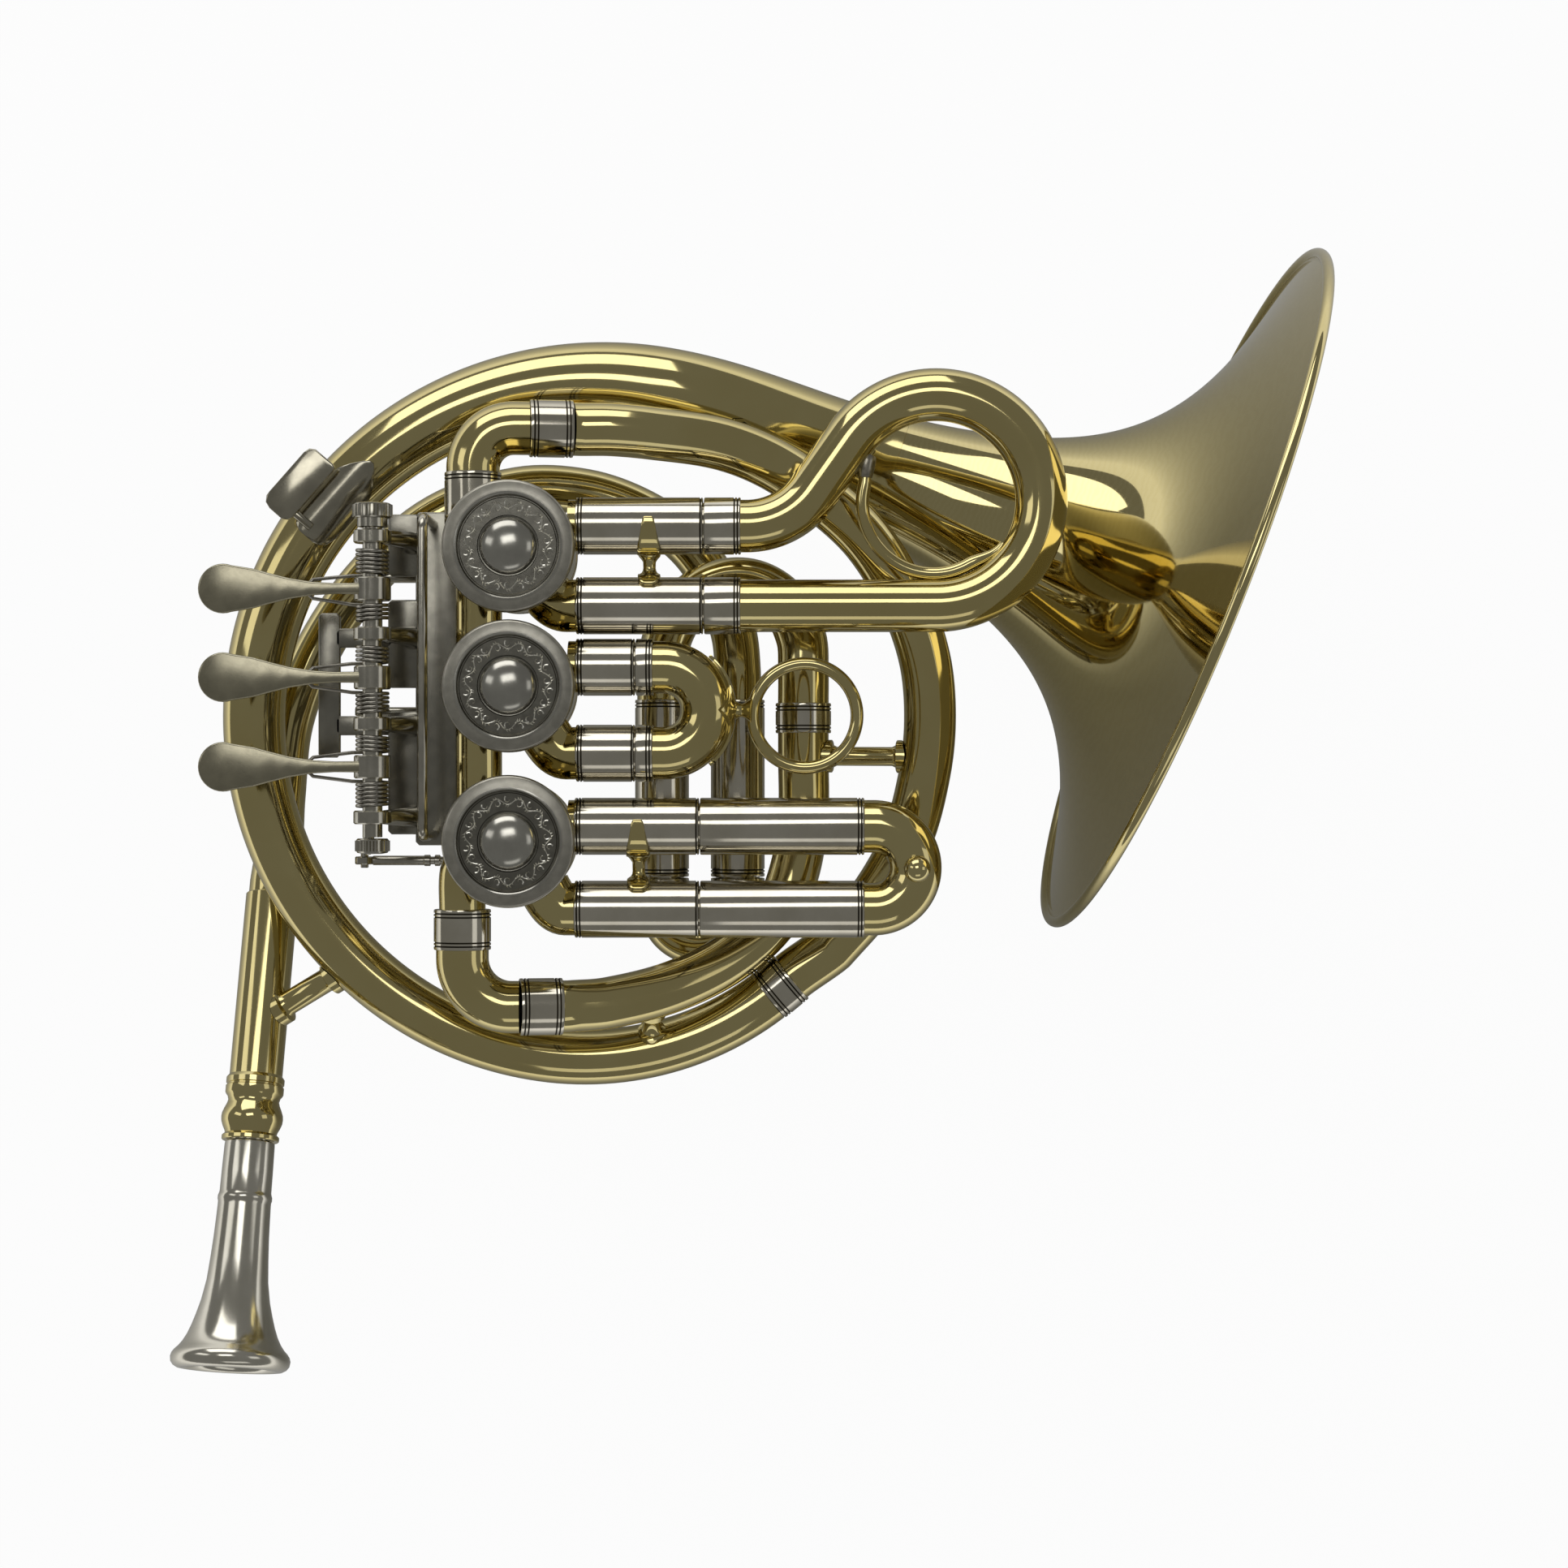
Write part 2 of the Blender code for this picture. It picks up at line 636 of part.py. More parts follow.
for i, y in enumerate(VALVE_Y):
    low, high = CASING_Z
    upper, lower = SLIDE_Y[i]
    body = lathe([(0, high), (CASING_R, high), (CASING_R, low), (0, low)], (VALVE_X, y, 0), (0, 0, 1), 28)
    body = fuse(body, knuckle(i, upper, False), knuckle(i, lower, True))
    if i == 0:
        body = fuse(body, rod((top_x, y, PORT_Z), (top_x, y + 12.6, PORT_Z), SPIGOT_R, 16))
    if i == 1:
        above = rod((VALVE_X - 8, y + 4, PORT_Z), (VALVE_X - 8, VALVE_Y[0], PORT_Z), CONNECT_R, 16)
        below = rod((VALVE_X - 8, y - 4, PORT_Z), (VALVE_X - 8, VALVE_Y[2], PORT_Z), CONNECT_R, 16)
        body = fuse(body, cut(above, casing_space(0)), cut(below, casing_space(2)))
    if i == 2:
        stub = tube([vec(low_x + 2, y - 2, PORT_Z), vec(low_x, y - 8, PORT_Z), vec(low_x, low_top + GAP, PORT_Z),
                     vec(low_x, low_top + GAP - STEP, PORT_Z), vec(low_x, low_top - 3, PORT_Z)],
                    [CONNECT_R, CONNECT_R, CONNECT_R, SPIGOT_R, SPIGOT_R])
        body = fuse(body, stub)
    body = cut(body, rod((VALVE_X, y, low - 5), (VALVE_X, y, high + 5), CASING_BORE, 28))
    part(f"valve_casing_{i + 1}", body, COPPER)

    cap = [(0, 4.9), (3.6, 4.5), (5.8, 3.3), (6.2, 2.0), (12.2, 2.0), (12.7, 2.9), (14.0, 2.9),
           (CAP_R, 2.3), (CAP_R, 0), (0, 0)]
    part(f"valve_cap_{i + 1}", lathe(cap, (VALVE_X, y, CAP_Z), (0, 0, 1), 24), SILVER, roughness=0.35)

    bottom = [(STEM_R + 0.4, 9.9), (STEM_R + 0.4, 12.0), (CASING_R, 12.0), (CASING_R, 9.9)]
    part(f"bottom_cap_{i + 1}", lathe(bottom, (VALVE_X, y, 0), (0, 0, 1), 28, ring=True), COPPER)

    shape = [(0, 37.0), (ROTOR_R, 37.0), (ROTOR_R, 12.6), (STEM_R, 12.6), (STEM_R, 4.7), (0, 4.7)]
    rotor = lathe(shape, (VALVE_X, y, 0), (0, 0, 1), 20)
    a = math.radians(CRANK_ANGLE)
    way = vec(math.cos(a), math.sin(a), 0)
    side = vec(-way.y, way.x, 0)
    end = way * CRANK_R
    outline = [side * 3.6 - way * 2.5, end + side * 2.4, end + way * 2.0 + side * 1.2,
               end + way * 2.4, end + way * 2.0 - side * 1.2, end - side * 2.4, -side * 3.6 - way * 2.5]
    crank = plate([(p.x, p.y) for p in outline][::-1], 4.4, 6.9, Matrix.Translation(vec(VALVE_X, y, 0) * MM))
    rotor = fuse(rotor, crank)
    port = vec(0, 0, PORT_Z)
    for sign in (1, -1):
        off = vec(VALVE_X, y, 0) + port + vec(1, 1, 0).normalized() * (9.6 * sign)
        cross = vec(1, -1, 0).normalized() * 20
        rotor = cut(rotor, rod(off - cross, off + cross, 4.6, 12))
    part(f"rotor_{i + 1}", rotor, STEEL, origin=(VALVE_X, y, PORT_Z))

# Valve slides
for i, (upper, lower) in enumerate(SLIDE_Y):
    x0, x1 = SLEEVE_X[i], SLEEVE_END[i]
    for side, y in (("upper", upper), ("lower", lower)):
        sleeve = pipe((x0, y, PORT_Z), (x1, y, PORT_Z), SLEEVE_R, SLEEVE_BORE)
        part(f"slide_sleeve_{i + 1}_{side}", sleeve, SILVER)

for i, (upper, lower) in enumerate(SLIDE_Y):
    x1, x2 = SLEEVE_END[i] + GAP, FERRULE_END[i]
    x0 = x1 - LEG_DEPTH[i]
    centre = (upper + lower) / 2
    half = (upper - lower) / 2
    if i == 0:
        loop_y = lower + BIG_LOOP_R
        loop = arc((BIG_LOOP_X, loop_y), BIG_LOOP_R, -90, 145, 26)
        turn_r = 18.2
        bend_c = vec(FERRULE_END[0] + 1.3, upper + turn_r, PORT_Z)
        back = arc((bend_c.x, bend_c.y), turn_r, -35, -90, 7)
        crook = loop + back
    else:
        crook = arc((CROOK_X[i], centre), half, -90, 90, 14)
    run = [vec(x0, lower, PORT_Z), vec(x1, lower, PORT_Z), vec(x1 + STEP, lower, PORT_Z),
           vec(x2, lower, PORT_Z), vec(x2 + STEP, lower, PORT_Z)]
    run += crook
    run += [vec(x2 + STEP, upper, PORT_Z), vec(x2, upper, PORT_Z), vec(x1 + STEP, upper, PORT_Z),
            vec(x1, upper, PORT_Z), vec(x0, upper, PORT_Z)]
    radii = [LEG_R, LEG_R, SLEEVE_R, SLEEVE_R] + [BOW_R] * (len(crook) + 2)
    radii += [SLEEVE_R, SLEEVE_R, LEG_R, LEG_R]
    slide = tube(run, radii)
    if i == 0:
        ring_c = (BIG_LOOP_X - 0.6, loop_y - 0.6)
        wire = arc(ring_c, 15.9, 154, 314, 16)
        first = vec(ring_c[0] + 20.5 * math.cos(math.radians(144)), ring_c[1] + 20.5 * math.sin(math.radians(144)), PORT_Z)
        last = vec(ring_c[0] + 20.5 * math.cos(math.radians(324)), ring_c[1] + 20.5 * math.sin(math.radians(324)), PORT_Z)
        slide = fuse(slide, tube([first] + wire + [last], 1.5, 2))
    if i == 1:
        edge = CROOK_X[i] + half + BOW_R
        ring_r = 11.7
        ring_x = edge + 1.6 + 1.4 + ring_r + 1.45
        hoop = [(ring_r + 1.45 * math.cos(math.radians(t)), 1.45 * math.sin(math.radians(t)))
                for t in range(0, 360, 60)]
        slide = fuse(slide, rod((edge - 1.5, centre, PORT_Z), (ring_x - ring_r + 0.4, centre, PORT_Z), 1.7, 12),
                     lathe(hoop, (ring_x, centre - 1.2, PORT_Z), (0, 0, 1), 24, ring=True))
    if i == 2:
        knob_x = CROOK_X[i] + half
        top = PORT_Z + BOW_R
        slide = fuse(slide, rod((knob_x, centre, PORT_Z + 2), (knob_x, centre, top + 2.5), 1.7, 12),
                     ball((knob_x, centre, top + 3.6), 3.0, 14))
    part(f"valve_slide_{i + 1}", slide, COPPER, origin=(x1, centre, PORT_Z))

# Braces
for i, x in ((0, -30.2), (2, -32.6)):
    upper, lower = SLIDE_Y[i]
    brace(f"brace_slide_{i + 1}", (x, upper, PORT_Z), (1, 0, 0), SLEEVE_R, (x, lower, PORT_Z), (1, 0, 0),
          SLEEVE_R, 2.2, 3.4)

place, way, size = loop_point(225.8)
brace("lead_pipe_brace", hold, toward, RECEIVER_R, place, way, size, 2.8, 4.2)
place, way, size = loop_point(280.4)
low_place = vec(-30, -47.9, 14.1)
brace("bottom_brace", low_place, (13.5, 2.7, -6), BOW_R, place, way, size, 2.0, 3.2)
brace("side_brace", (side_x, 6.5, 0), (0, 1, 0), BOW_R, (32.95, 6.3, 4.2), (1, 13, 1), BRANCH_R, 2.2, 3.8)

spot = 7
near = neck[spot]
near_way = (neck[spot + 1] - neck[spot - 1]).normalized()
near_r = bell_radius(BELL_LENGTH + lengths(neck)[spot - 1])
inner_near = min(inner_run, key=lambda p: (p - near).length)
k = inner_run.index(inner_near)
brace("bell_brace", near, near_way, near_r, inner_near, inner_run[k + 1] - inner_run[k - 1], BRANCH_R, 2.2, 3.4)

# Finger hook on the loop
place, way, size = loop_point(138.6)
outward = (place - vec(LOOP_CENTRE[0], LOOP_CENTRE[1], 0)).normalized()
half_base = 11.5
bend = half_base ** 2 / LOOP_RADIUS / 2
hook_in = size + GAP + bend / 2 + STEP
base = lathe([(hook_in + 1.1, half_base), (hook_in + 1.1, -half_base), (hook_in, -half_base), (hook_in, half_base)],
             place - outward * bend / 2, way, 40, ring=True)
up = vec(0, 0, 1)
lean = (up - outward * 0.35).normalized()
window = axes_at(place, lean, way)
outline = [(-half_base, -1), (-4, -5), (8.5, -5), (half_base, -2.5), (half_base, 2.5), (8.5, 5), (-4, 5),
           (-half_base, 1)]
base = keep(base, plate(outline, 3, 16, window))
tongue = plate([(-4, 2), (10.5, 2), (12, 3.5), (12, 8), (10, 9.8), (-2.5, 9.8), (-4, 8)], 0, 1.2)
root = place + up * (size + 2.0)
turn_frame = Matrix((way, outward, up)).transposed().to_4x4()
tongue.transform(Matrix.Translation(root * MM) @ turn_frame)
fold = rod(root + way * 9 - outward * 1.5 - up * 0.5, root + way * 9 + outward * 5, 1.05, 10)
part("finger_hook", fuse(base, fold, tongue), SILVER)

# Key plate, posts, hinge
low, high = PLATE_Z
sheet = block(((PLATE_X[0] + PLATE_X[1]) / 2, (POST_Y[0] + POST_Y[-1]) / 2 + 0.25, (low + high) / 2),
              (PLATE_X[1] - PLATE_X[0], POST_Y[0] - POST_Y[-1] + 13.7, high - low))
frame_mesh = sheet
for y in POST_Y:
    eye = rod((HINGE_X, y - 1.5, HINGE_Z), (HINGE_X, y + 1.5, HINGE_Z), 4.2, 16)
    strut = tube([vec(HINGE_X + 1.5, y, HINGE_Z - 2), vec(PLATE_X[0] - 1.5, y, high + 6),
                  vec(PLATE_X[0] + 2.5, y, high + 1.4), vec(PLATE_X[0] + 4, y, low + 0.4)], 1.4, 2)
    frame_mesh = fuse(frame_mesh, strut, eye)
for y in POST_Y:
    frame_mesh = cut(frame_mesh, rod((HINGE_X, y - 4, HINGE_Z), (HINGE_X, y + 4, HINGE_Z), HINGE_R + GAP, 16))
part("key_plate", frame_mesh, SILVER)

screw_low, screw_high = POST_Y[-1] - 4.4, POST_Y[0] + 4.0
head = [(0, screw_high + 3.4), (2.2, screw_high + 3.2), (4.4, screw_high + 2.4), (4.4, screw_high),
        (HINGE_R, screw_high), (HINGE_R, screw_low), (0, screw_low)]
part("hinge_screw", lathe(head, (HINGE_X, 0, HINGE_Z), (0, 1, 0), 16), STEEL)
nut = [(0, -0.6), (2.4, -0.6), (3.6, -1.2), (3.6, -3.4), (2.2, -4.0), (0, -4.0)]
part("hinge_nut", lathe(nut, (HINGE_X, screw_low + 0.3, HINGE_Z), (0, 1, 0), 16), STEEL)

PIN_R = 0.9
ARM_R = 1.3
EYE_HALF = 0.9
for i, y in enumerate(KEY_Y):
    link_y = VALVE_Y[i] + CRANK_R * math.sin(math.radians(CRANK_ANGLE))
    side = -1 if link_y > y else 1
    arm_y = link_y + side * 2.7
    pin_x, pin_z = KEY_PIN
    tip = PADDLE_X
    outline = [(HINGE_X + 2.0, y - 1.3), (HINGE_X - 8, y - 1.2), (HINGE_X - 18, y - 2.3), (HINGE_X - 25, y - 4.2)]
    outline += [(tip - PADDLE_R * math.sin(math.radians(t)), y - PADDLE_R * math.cos(math.radians(t)))
                for t in range(-30, 211, 20)]
    outline += [(HINGE_X - 25, y + 4.2), (HINGE_X - 18, y + 2.3), (HINGE_X - 8, y + 1.2), (HINGE_X + 2.0, y + 1.3)]
    paddle = plate(outline, PADDLE_Z[0], PADDLE_Z[1])
    hub = rod((HINGE_X, y - HUB_HALF, HINGE_Z), (HINGE_X, y + HUB_HALF, HINGE_Z), HUB_R, 20)
    knee = HINGE_X - 2.5
    drop = [vec(HINGE_X - 0.6, y, HINGE_Z - 2.8), vec(knee + 0.6, y, HINGE_Z - 9), vec(knee, y, HINGE_Z - 11.7)]
    if abs(arm_y - y) > 2.6:
        lean_way = 1 if arm_y > y else -1
        drop[-1] = vec(knee + 0.1, y, HINGE_Z - 10.6)
        drop += [vec(knee, y + lean_way * 1.2, HINGE_Z - 11.8), vec(knee, arm_y - lean_way * 1.2, HINGE_Z - 11.8)]
    drop += [vec(knee - 0.3, arm_y, HINGE_Z - 13.2), vec(pin_x + 0.2, arm_y, pin_z + 1), vec(pin_x, arm_y, pin_z - 1.6)]
    arm = tube(drop, ARM_R, 2)
    pin = rod((pin_x, arm_y, pin_z), (pin_x, link_y - side * (EYE_HALF + 0.8), pin_z), PIN_R, 12)
    key = cut(fuse(hub, paddle, arm, pin),
              rod((HINGE_X, y - 6, HINGE_Z), (HINGE_X, y + 6, HINGE_Z), HINGE_R + GAP, 20))
    part(f"key_{i + 1}", key, STEEL, origin=(HINGE_X, y, HINGE_Z), roughness=0.4)

    crank_x = VALVE_X + CRANK_R * math.cos(math.radians(CRANK_ANGLE))
    eye = rod((pin_x, link_y - EYE_HALF, pin_z), (pin_x, link_y + EYE_HALF, pin_z), LINK_EYE_R, 16)
    bar = rod((pin_x + 1.7, link_y, pin_z), (crank_x - 1, link_y, pin_z), 0.75, 10)
    disc = rod((crank_x, link_y, 7.8), (crank_x, link_y, 9.25), 2.2, 16)
    link_mesh = fuse(eye, bar, disc)
    link_mesh = cut(link_mesh, rod((pin_x, link_y - 3, pin_z), (pin_x, link_y + 3, pin_z), PIN_R + GAP, 12))
    part(f"key_link_{i + 1}", link_mesh, STEEL, origin=(pin_x, link_y, pin_z))

    above = (y + HUB_HALF + 0.7, min(p for p in POST_Y if p > y) - 1.5 - 0.5)
    below = (y - HUB_HALF - 0.7, max(p for p in POST_Y if p < y) + 1.5 + 0.5)

    def coil(span, start, hand):
        """The coil's points, from the end by the hub out to the post."""
        inner, outer = span
        turns = int(abs(outer - inner) / SPRING_PITCH)
        out = []
        for step in range(turns * SPRING_STEPS + 1):
            t = step / SPRING_STEPS
            a = start + hand * math.tau * t
            along = inner + (1 if outer > inner else -1) * SPRING_PITCH * t
            out.append(vec(HINGE_X + SPRING_R * math.cos(a), along, HINGE_Z + SPRING_R * math.sin(a)))
        return out

    bottom_side = -math.pi / 2
    upper_coil = coil(above, bottom_side, 1)
    lower_coil = coil(below, bottom_side, 1)
    reach_x = HINGE_X - 13
    rise = PADDLE_Z[0] - 1.0
    leg = [vec(HINGE_X - 5, above[0] - 0.1, HINGE_Z - SPRING_R + 0.2), vec(reach_x, above[0] - 1.2, rise),
           vec(reach_x - 0.9, above[0] - 2.0, rise), vec(reach_x - 0.9, below[0] + 2.0, rise),
           vec(reach_x, below[0] + 1.2, rise), vec(HINGE_X - 5, below[0] + 0.1, HINGE_Z - SPRING_R + 0.2)]
    wire = upper_coil[::-1] + leg + lower_coil
    part(f"key_spring_{i + 1}", tube(wire, SPRING_WIRE, 1), STEEL, origin=(HINGE_X, y, HINGE_Z))
    least = min((wire[m] - wire[n]).length for m in range(len(wire)) for n in range(m + 6, len(wire)))
    print(f"key_spring_{i + 1}: {len(wire)} points, least gap to itself {least - 2 * SPRING_WIRE:.2f} mm")

rail_x = PLATE_X[0] + 4
rail_top = HINGE_Z + 2
rail_ends = (POST_Y[0] + 4.2, POST_Y[-1] - 4.2)
a, b = rail_ends
run = [vec(rail_x, a, high + GAP), vec(rail_x, a, rail_top - 3), vec(rail_x, a - 0.9, rail_top - 0.9),
       vec(rail_x, a - 3, rail_top), vec(rail_x, b + 3, rail_top), vec(rail_x, b + 0.9, rail_top - 0.9),
       vec(rail_x, b, rail_top - 3), vec(rail_x, b, high + GAP)]
part("stop_rail", tube(run, 1.1, 3), SILVER)

# The whole horn is moved so that its box stands on z = 0 with its middle on the Z axis
bpy.context.view_layer.update()
corners = [obj.matrix_world @ vert.co for obj in parts.objects for vert in obj.data.vertices]
low = Vector([min(c[k] for c in corners) for k in range(3)])
high = Vector([max(c[k] for c in corners) for k in range(3)])
shift = Vector(((low.x + high.x) / 2, (low.y + high.y) / 2, low.z))
for obj in parts.objects:
    obj.location -= shift
bpy.context.view_layer.update()
print("shift mm", [round(c / MM, 3) for c in shift], "size mm", [round(c / MM, 2) for c in high - low])
faces = 0
for obj in parts.objects:
    obj.data.calc_loop_triangles()
    faces += len(obj.data.loop_triangles)
print("objects", len(parts.objects), "triangles", faces)
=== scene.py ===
# %% [markdown]
# # A pocket horn in lacquered brass and nickel silver
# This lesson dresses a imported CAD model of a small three-valve horn. The sizes below follow
# the CAD's own, and each piece gets the round, polished form and the finish that the real
# one has. Lengths are in millimetres until a mesh is made, when they become metres.

# %% Load the frame
import math

import bmesh
import bpy
from mathutils import Matrix, Vector

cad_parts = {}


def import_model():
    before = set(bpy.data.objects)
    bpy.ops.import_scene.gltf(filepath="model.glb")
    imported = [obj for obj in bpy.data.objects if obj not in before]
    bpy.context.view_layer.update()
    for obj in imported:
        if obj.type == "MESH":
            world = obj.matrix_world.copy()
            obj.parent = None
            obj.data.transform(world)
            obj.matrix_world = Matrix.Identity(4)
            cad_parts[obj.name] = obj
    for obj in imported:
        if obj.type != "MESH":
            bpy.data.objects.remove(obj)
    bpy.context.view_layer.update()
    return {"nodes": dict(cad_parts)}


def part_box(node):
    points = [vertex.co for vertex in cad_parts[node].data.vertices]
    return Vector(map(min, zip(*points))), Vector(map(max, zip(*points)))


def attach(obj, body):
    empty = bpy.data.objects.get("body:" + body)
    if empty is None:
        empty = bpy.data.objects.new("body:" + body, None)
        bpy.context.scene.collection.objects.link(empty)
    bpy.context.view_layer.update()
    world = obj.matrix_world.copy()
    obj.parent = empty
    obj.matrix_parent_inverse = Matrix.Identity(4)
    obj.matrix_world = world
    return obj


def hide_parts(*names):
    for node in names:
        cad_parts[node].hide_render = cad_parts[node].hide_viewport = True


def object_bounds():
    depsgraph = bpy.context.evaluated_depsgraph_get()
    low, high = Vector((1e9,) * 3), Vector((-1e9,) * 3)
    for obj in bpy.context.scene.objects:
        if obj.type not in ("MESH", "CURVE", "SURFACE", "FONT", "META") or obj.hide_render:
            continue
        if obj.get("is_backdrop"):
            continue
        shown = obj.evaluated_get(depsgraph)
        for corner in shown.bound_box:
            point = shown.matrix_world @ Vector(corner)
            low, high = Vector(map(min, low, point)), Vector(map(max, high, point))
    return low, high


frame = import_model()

MM = 0.001
VALVE_X = -60.5
VALVE_Y = (52.2, 21.5, -12.6)
PORT_Z = 24.0
CAP_Z = 38.6
cap_low, cap_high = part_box("valve_cap_1")
ORIGIN = Vector(((cap_low.x + cap_high.x) / 2 / MM - VALVE_X,
                 (cap_low.y + cap_high.y) / 2 / MM - VALVE_Y[0],
                 cap_low.z / MM - CAP_Z))
print("drawing origin in the row frame, mm:", [round(c, 2) for c in ORIGIN])

# %% [markdown]
# ## Finishes
# The tubes are polished yellow brass under a clear lacquer, so a metallic shader with a
# thin coat suits them. Polishing leaves very faint waves and specks, so two Noise textures
# on Object coordinates vary the colour, the roughness and the bump. The sleeves, ferrules
# and levers are nickel silver, bright on the sleeves and satin on the caps and levers.

# %% Metal finishes
RING_SCALE = 260.0
POLISH_WAVES, FINE_SPECKS = 4, 3


def add_node(nodes, kind, values=None, **settings):
    """A new node with its settings and the values of its inputs."""
    node = nodes.new(kind)
    for key, value in settings.items():
        setattr(node, key, value)
    for key, value in (values or {}).items():
        node.inputs[key].default_value = value
    return node


def wire(links, *pairs):
    """Joins each output to its input."""
    for source, target in pairs:
        links.new(source, target)


def new_material(name):
    finish = bpy.data.materials.new(name)
    finish.use_nodes = True
    return finish, finish.node_tree.nodes, finish.node_tree.links


def lathe_rings(nodes, links, place, grain, centre, turn):
    """Faint uneven rings square to a piece's own axis, mixed into its grain."""
    mapping = add_node(nodes, "ShaderNodeMapping", {"Location": centre, "Rotation": turn},
                       vector_type="TEXTURE")
    rings = add_node(nodes, "ShaderNodeTexWave", {"Scale": RING_SCALE, "Distortion": 9.0, "Detail": 3.0},
                     bands_direction="Z")
    both = add_node(nodes, "ShaderNodeMix", {"Factor": 0.5})
    wire(links, (place, mapping.inputs["Vector"]), (mapping.outputs["Vector"], rings.inputs["Vector"]),
         (grain, both.inputs["A"]), (rings.outputs["Fac"], both.inputs["B"]))
    return both.outputs["Result"]


def metal(name, colour, dark, rough, wave=0.02, scale=90.0, coat=0.0, spread=0.06, spin=None):
    """A metal whose colour, roughness and surface vary a little. Spin = (place, turn) adds lathe rings."""
    finish, nodes, links = new_material(name)
    shader = nodes["Principled BSDF"]
    values = {"Metallic": 1.0}
    if coat:
        values.update({"Coat Weight": coat, "Coat Roughness": 0.04, "Coat IOR": 1.45})
    for key, value in values.items():
        shader.inputs[key].default_value = value
    place = nodes.new("ShaderNodeTexCoord").outputs["Object"]
    cloud = add_node(nodes, "ShaderNodeTexNoise", {"Scale": scale, "Detail": POLISH_WAVES})
    speck = add_node(nodes, "ShaderNodeTexNoise", {"Scale": scale * 9, "Detail": FINE_SPECKS})
    tint = nodes.new("ShaderNodeValToRGB")
    for stop, at, tone in zip(tint.color_ramp.elements, (0.35, 0.62), (dark, colour)):
        stop.position, stop.color = at, (*tone, 1)
    limits = {"To Min": rough - spread / 2, "To Max": rough + spread / 2}
    dull = add_node(nodes, "ShaderNodeMapRange", limits)
    bump = add_node(nodes, "ShaderNodeBump", {"Strength": 1.0, "Distance": wave * MM})
    wire(links, (place, cloud.inputs["Vector"]), (place, speck.inputs["Vector"]),
         (cloud.outputs["Fac"], tint.inputs["Fac"]), (tint.outputs["Color"], shader.inputs["Base Color"]),
         (cloud.outputs["Fac"], bump.inputs["Height"]), (bump.outputs["Normal"], shader.inputs["Normal"]),
         (dull.outputs["Result"], shader.inputs["Roughness"]))
    grain = speck.outputs["Fac"]
    if spin:
        grain = lathe_rings(nodes, links, place, grain, *spin)
        links.new(grain, tint.inputs["Fac"])
    links.new(grain, dull.inputs["Value"])
    return finish


BRASS = metal("warm_brass", (0.64, 0.545, 0.255), (0.60, 0.50, 0.22), 0.085, 0.012, 40, coat=0.25)
NICKEL = metal("bright_nickel", (0.66, 0.62, 0.52), (0.58, 0.54, 0.44), 0.11, 0.01, 90)
SATIN = metal("brushed_nickel", (0.39, 0.36, 0.26), (0.33, 0.305, 0.22), 0.24, 0.012, 260, spread=0.10)
CAP_METAL = metal("cap_nickel", (0.44, 0.42, 0.36), (0.37, 0.353, 0.30), 0.34, 0.015, 500, spread=0.12)
# the cap's field is the same nickel, painted darker as painted shade in place of its dim reflection
FIELD_METAL_PAINTED_DARK = metal("cap_field_painted_dark", (0.23, 0.22, 0.185), (0.18, 0.172, 0.145), 0.20, 0.012, 500, spread=0.10)
DOME_METAL = metal("dome_nickel", (0.50, 0.485, 0.43), (0.42, 0.405, 0.36), 0.19, 0.01, 150)
SILVER = metal("silver_plate", (0.70, 0.67, 0.58), (0.62, 0.59, 0.50), 0.16, 0.01, 100)
HOOK_METAL = metal("hook_nickel", (0.44, 0.41, 0.32), (0.37, 0.345, 0.27), 0.14, 0.012, 220, spread=0.08)
BED_METAL = metal("bed_nickel", (0.32, 0.305, 0.255), (0.25, 0.238, 0.20), 0.24, 0.02, 260)
HINGE_METAL = metal("hinge_nickel", (0.50, 0.475, 0.405), (0.41, 0.39, 0.33), 0.17, 0.01, 220)
STEEL = metal("drawn_steel", (0.40, 0.38, 0.33), (0.30, 0.28, 0.24), 0.22, 0.01, 300)
# groove_shade is painted shade: a near-black metal for the faces inside the fine cuts
SHADE = metal("groove_shade", (0.06, 0.05, 0.03), (0.03, 0.025, 0.015), 0.5, 0.0, 200)
SOLDER = metal("solder_grey", (0.40, 0.37, 0.30), (0.26, 0.24, 0.19), 0.30, 0.06, 700)

# %% [markdown]
# ## Runs of points
# Every tube on the horn follows a line in space. An arc, a blend between two directions
# and a smooth run through known points are enough to draw them all.


# %% Lines that tubes follow
SAME_SPOT = 0.02


def vec(x, y, z):
    return Vector((x, y, z))


def arc(centre, radius, first, last, count, z=PORT_Z):
    """A level arc between two angles in degrees."""
    run = []
    for i in range(count + 1):
        a = math.radians(first + (last - first) * i / count)
        run.append(vec(centre[0] + radius * math.cos(a), centre[1] + radius * math.sin(a), z))
    return run


def blend(p0, t0, p1, t1, count):
    """A smooth curve from p0 to p1 that leaves along t0 and arrives along t1."""
    p0, p1, t0, t1 = Vector(p0), Vector(p1), Vector(t0), Vector(t1)
    run = []
    for i in range(count + 1):
        u = i / count
        run.append(p0 * (2 * u ** 3 - 3 * u ** 2 + 1) + t0 * (u ** 3 - 2 * u ** 2 + u)
                   + p1 * (3 * u ** 2 - 2 * u ** 3) + t1 * (u ** 3 - u ** 2))
    return run


def smooth(points, per_span=8):
    """A smooth curve through all the points."""
    points = [Vector(p) for p in points]
    last = len(points) - 1
    slopes = [(points[min(i + 1, last)] - points[max(i - 1, 0)]).normalized() for i in range(last + 1)]
    run = [points[0]]
    for i in range(last):
        span = (points[i + 1] - points[i]).length
        run += blend(points[i], slopes[i] * span, points[i + 1], slopes[i + 1] * span, per_span)[1:]
    return run


def join(*runs):
    """Several runs as one, without points that fall together."""
    out = []
    for point in (Vector(p) for run in runs for p in run):
        if not out or (point - out[-1]).length > SAME_SPOT:
            out.append(point)
    return out


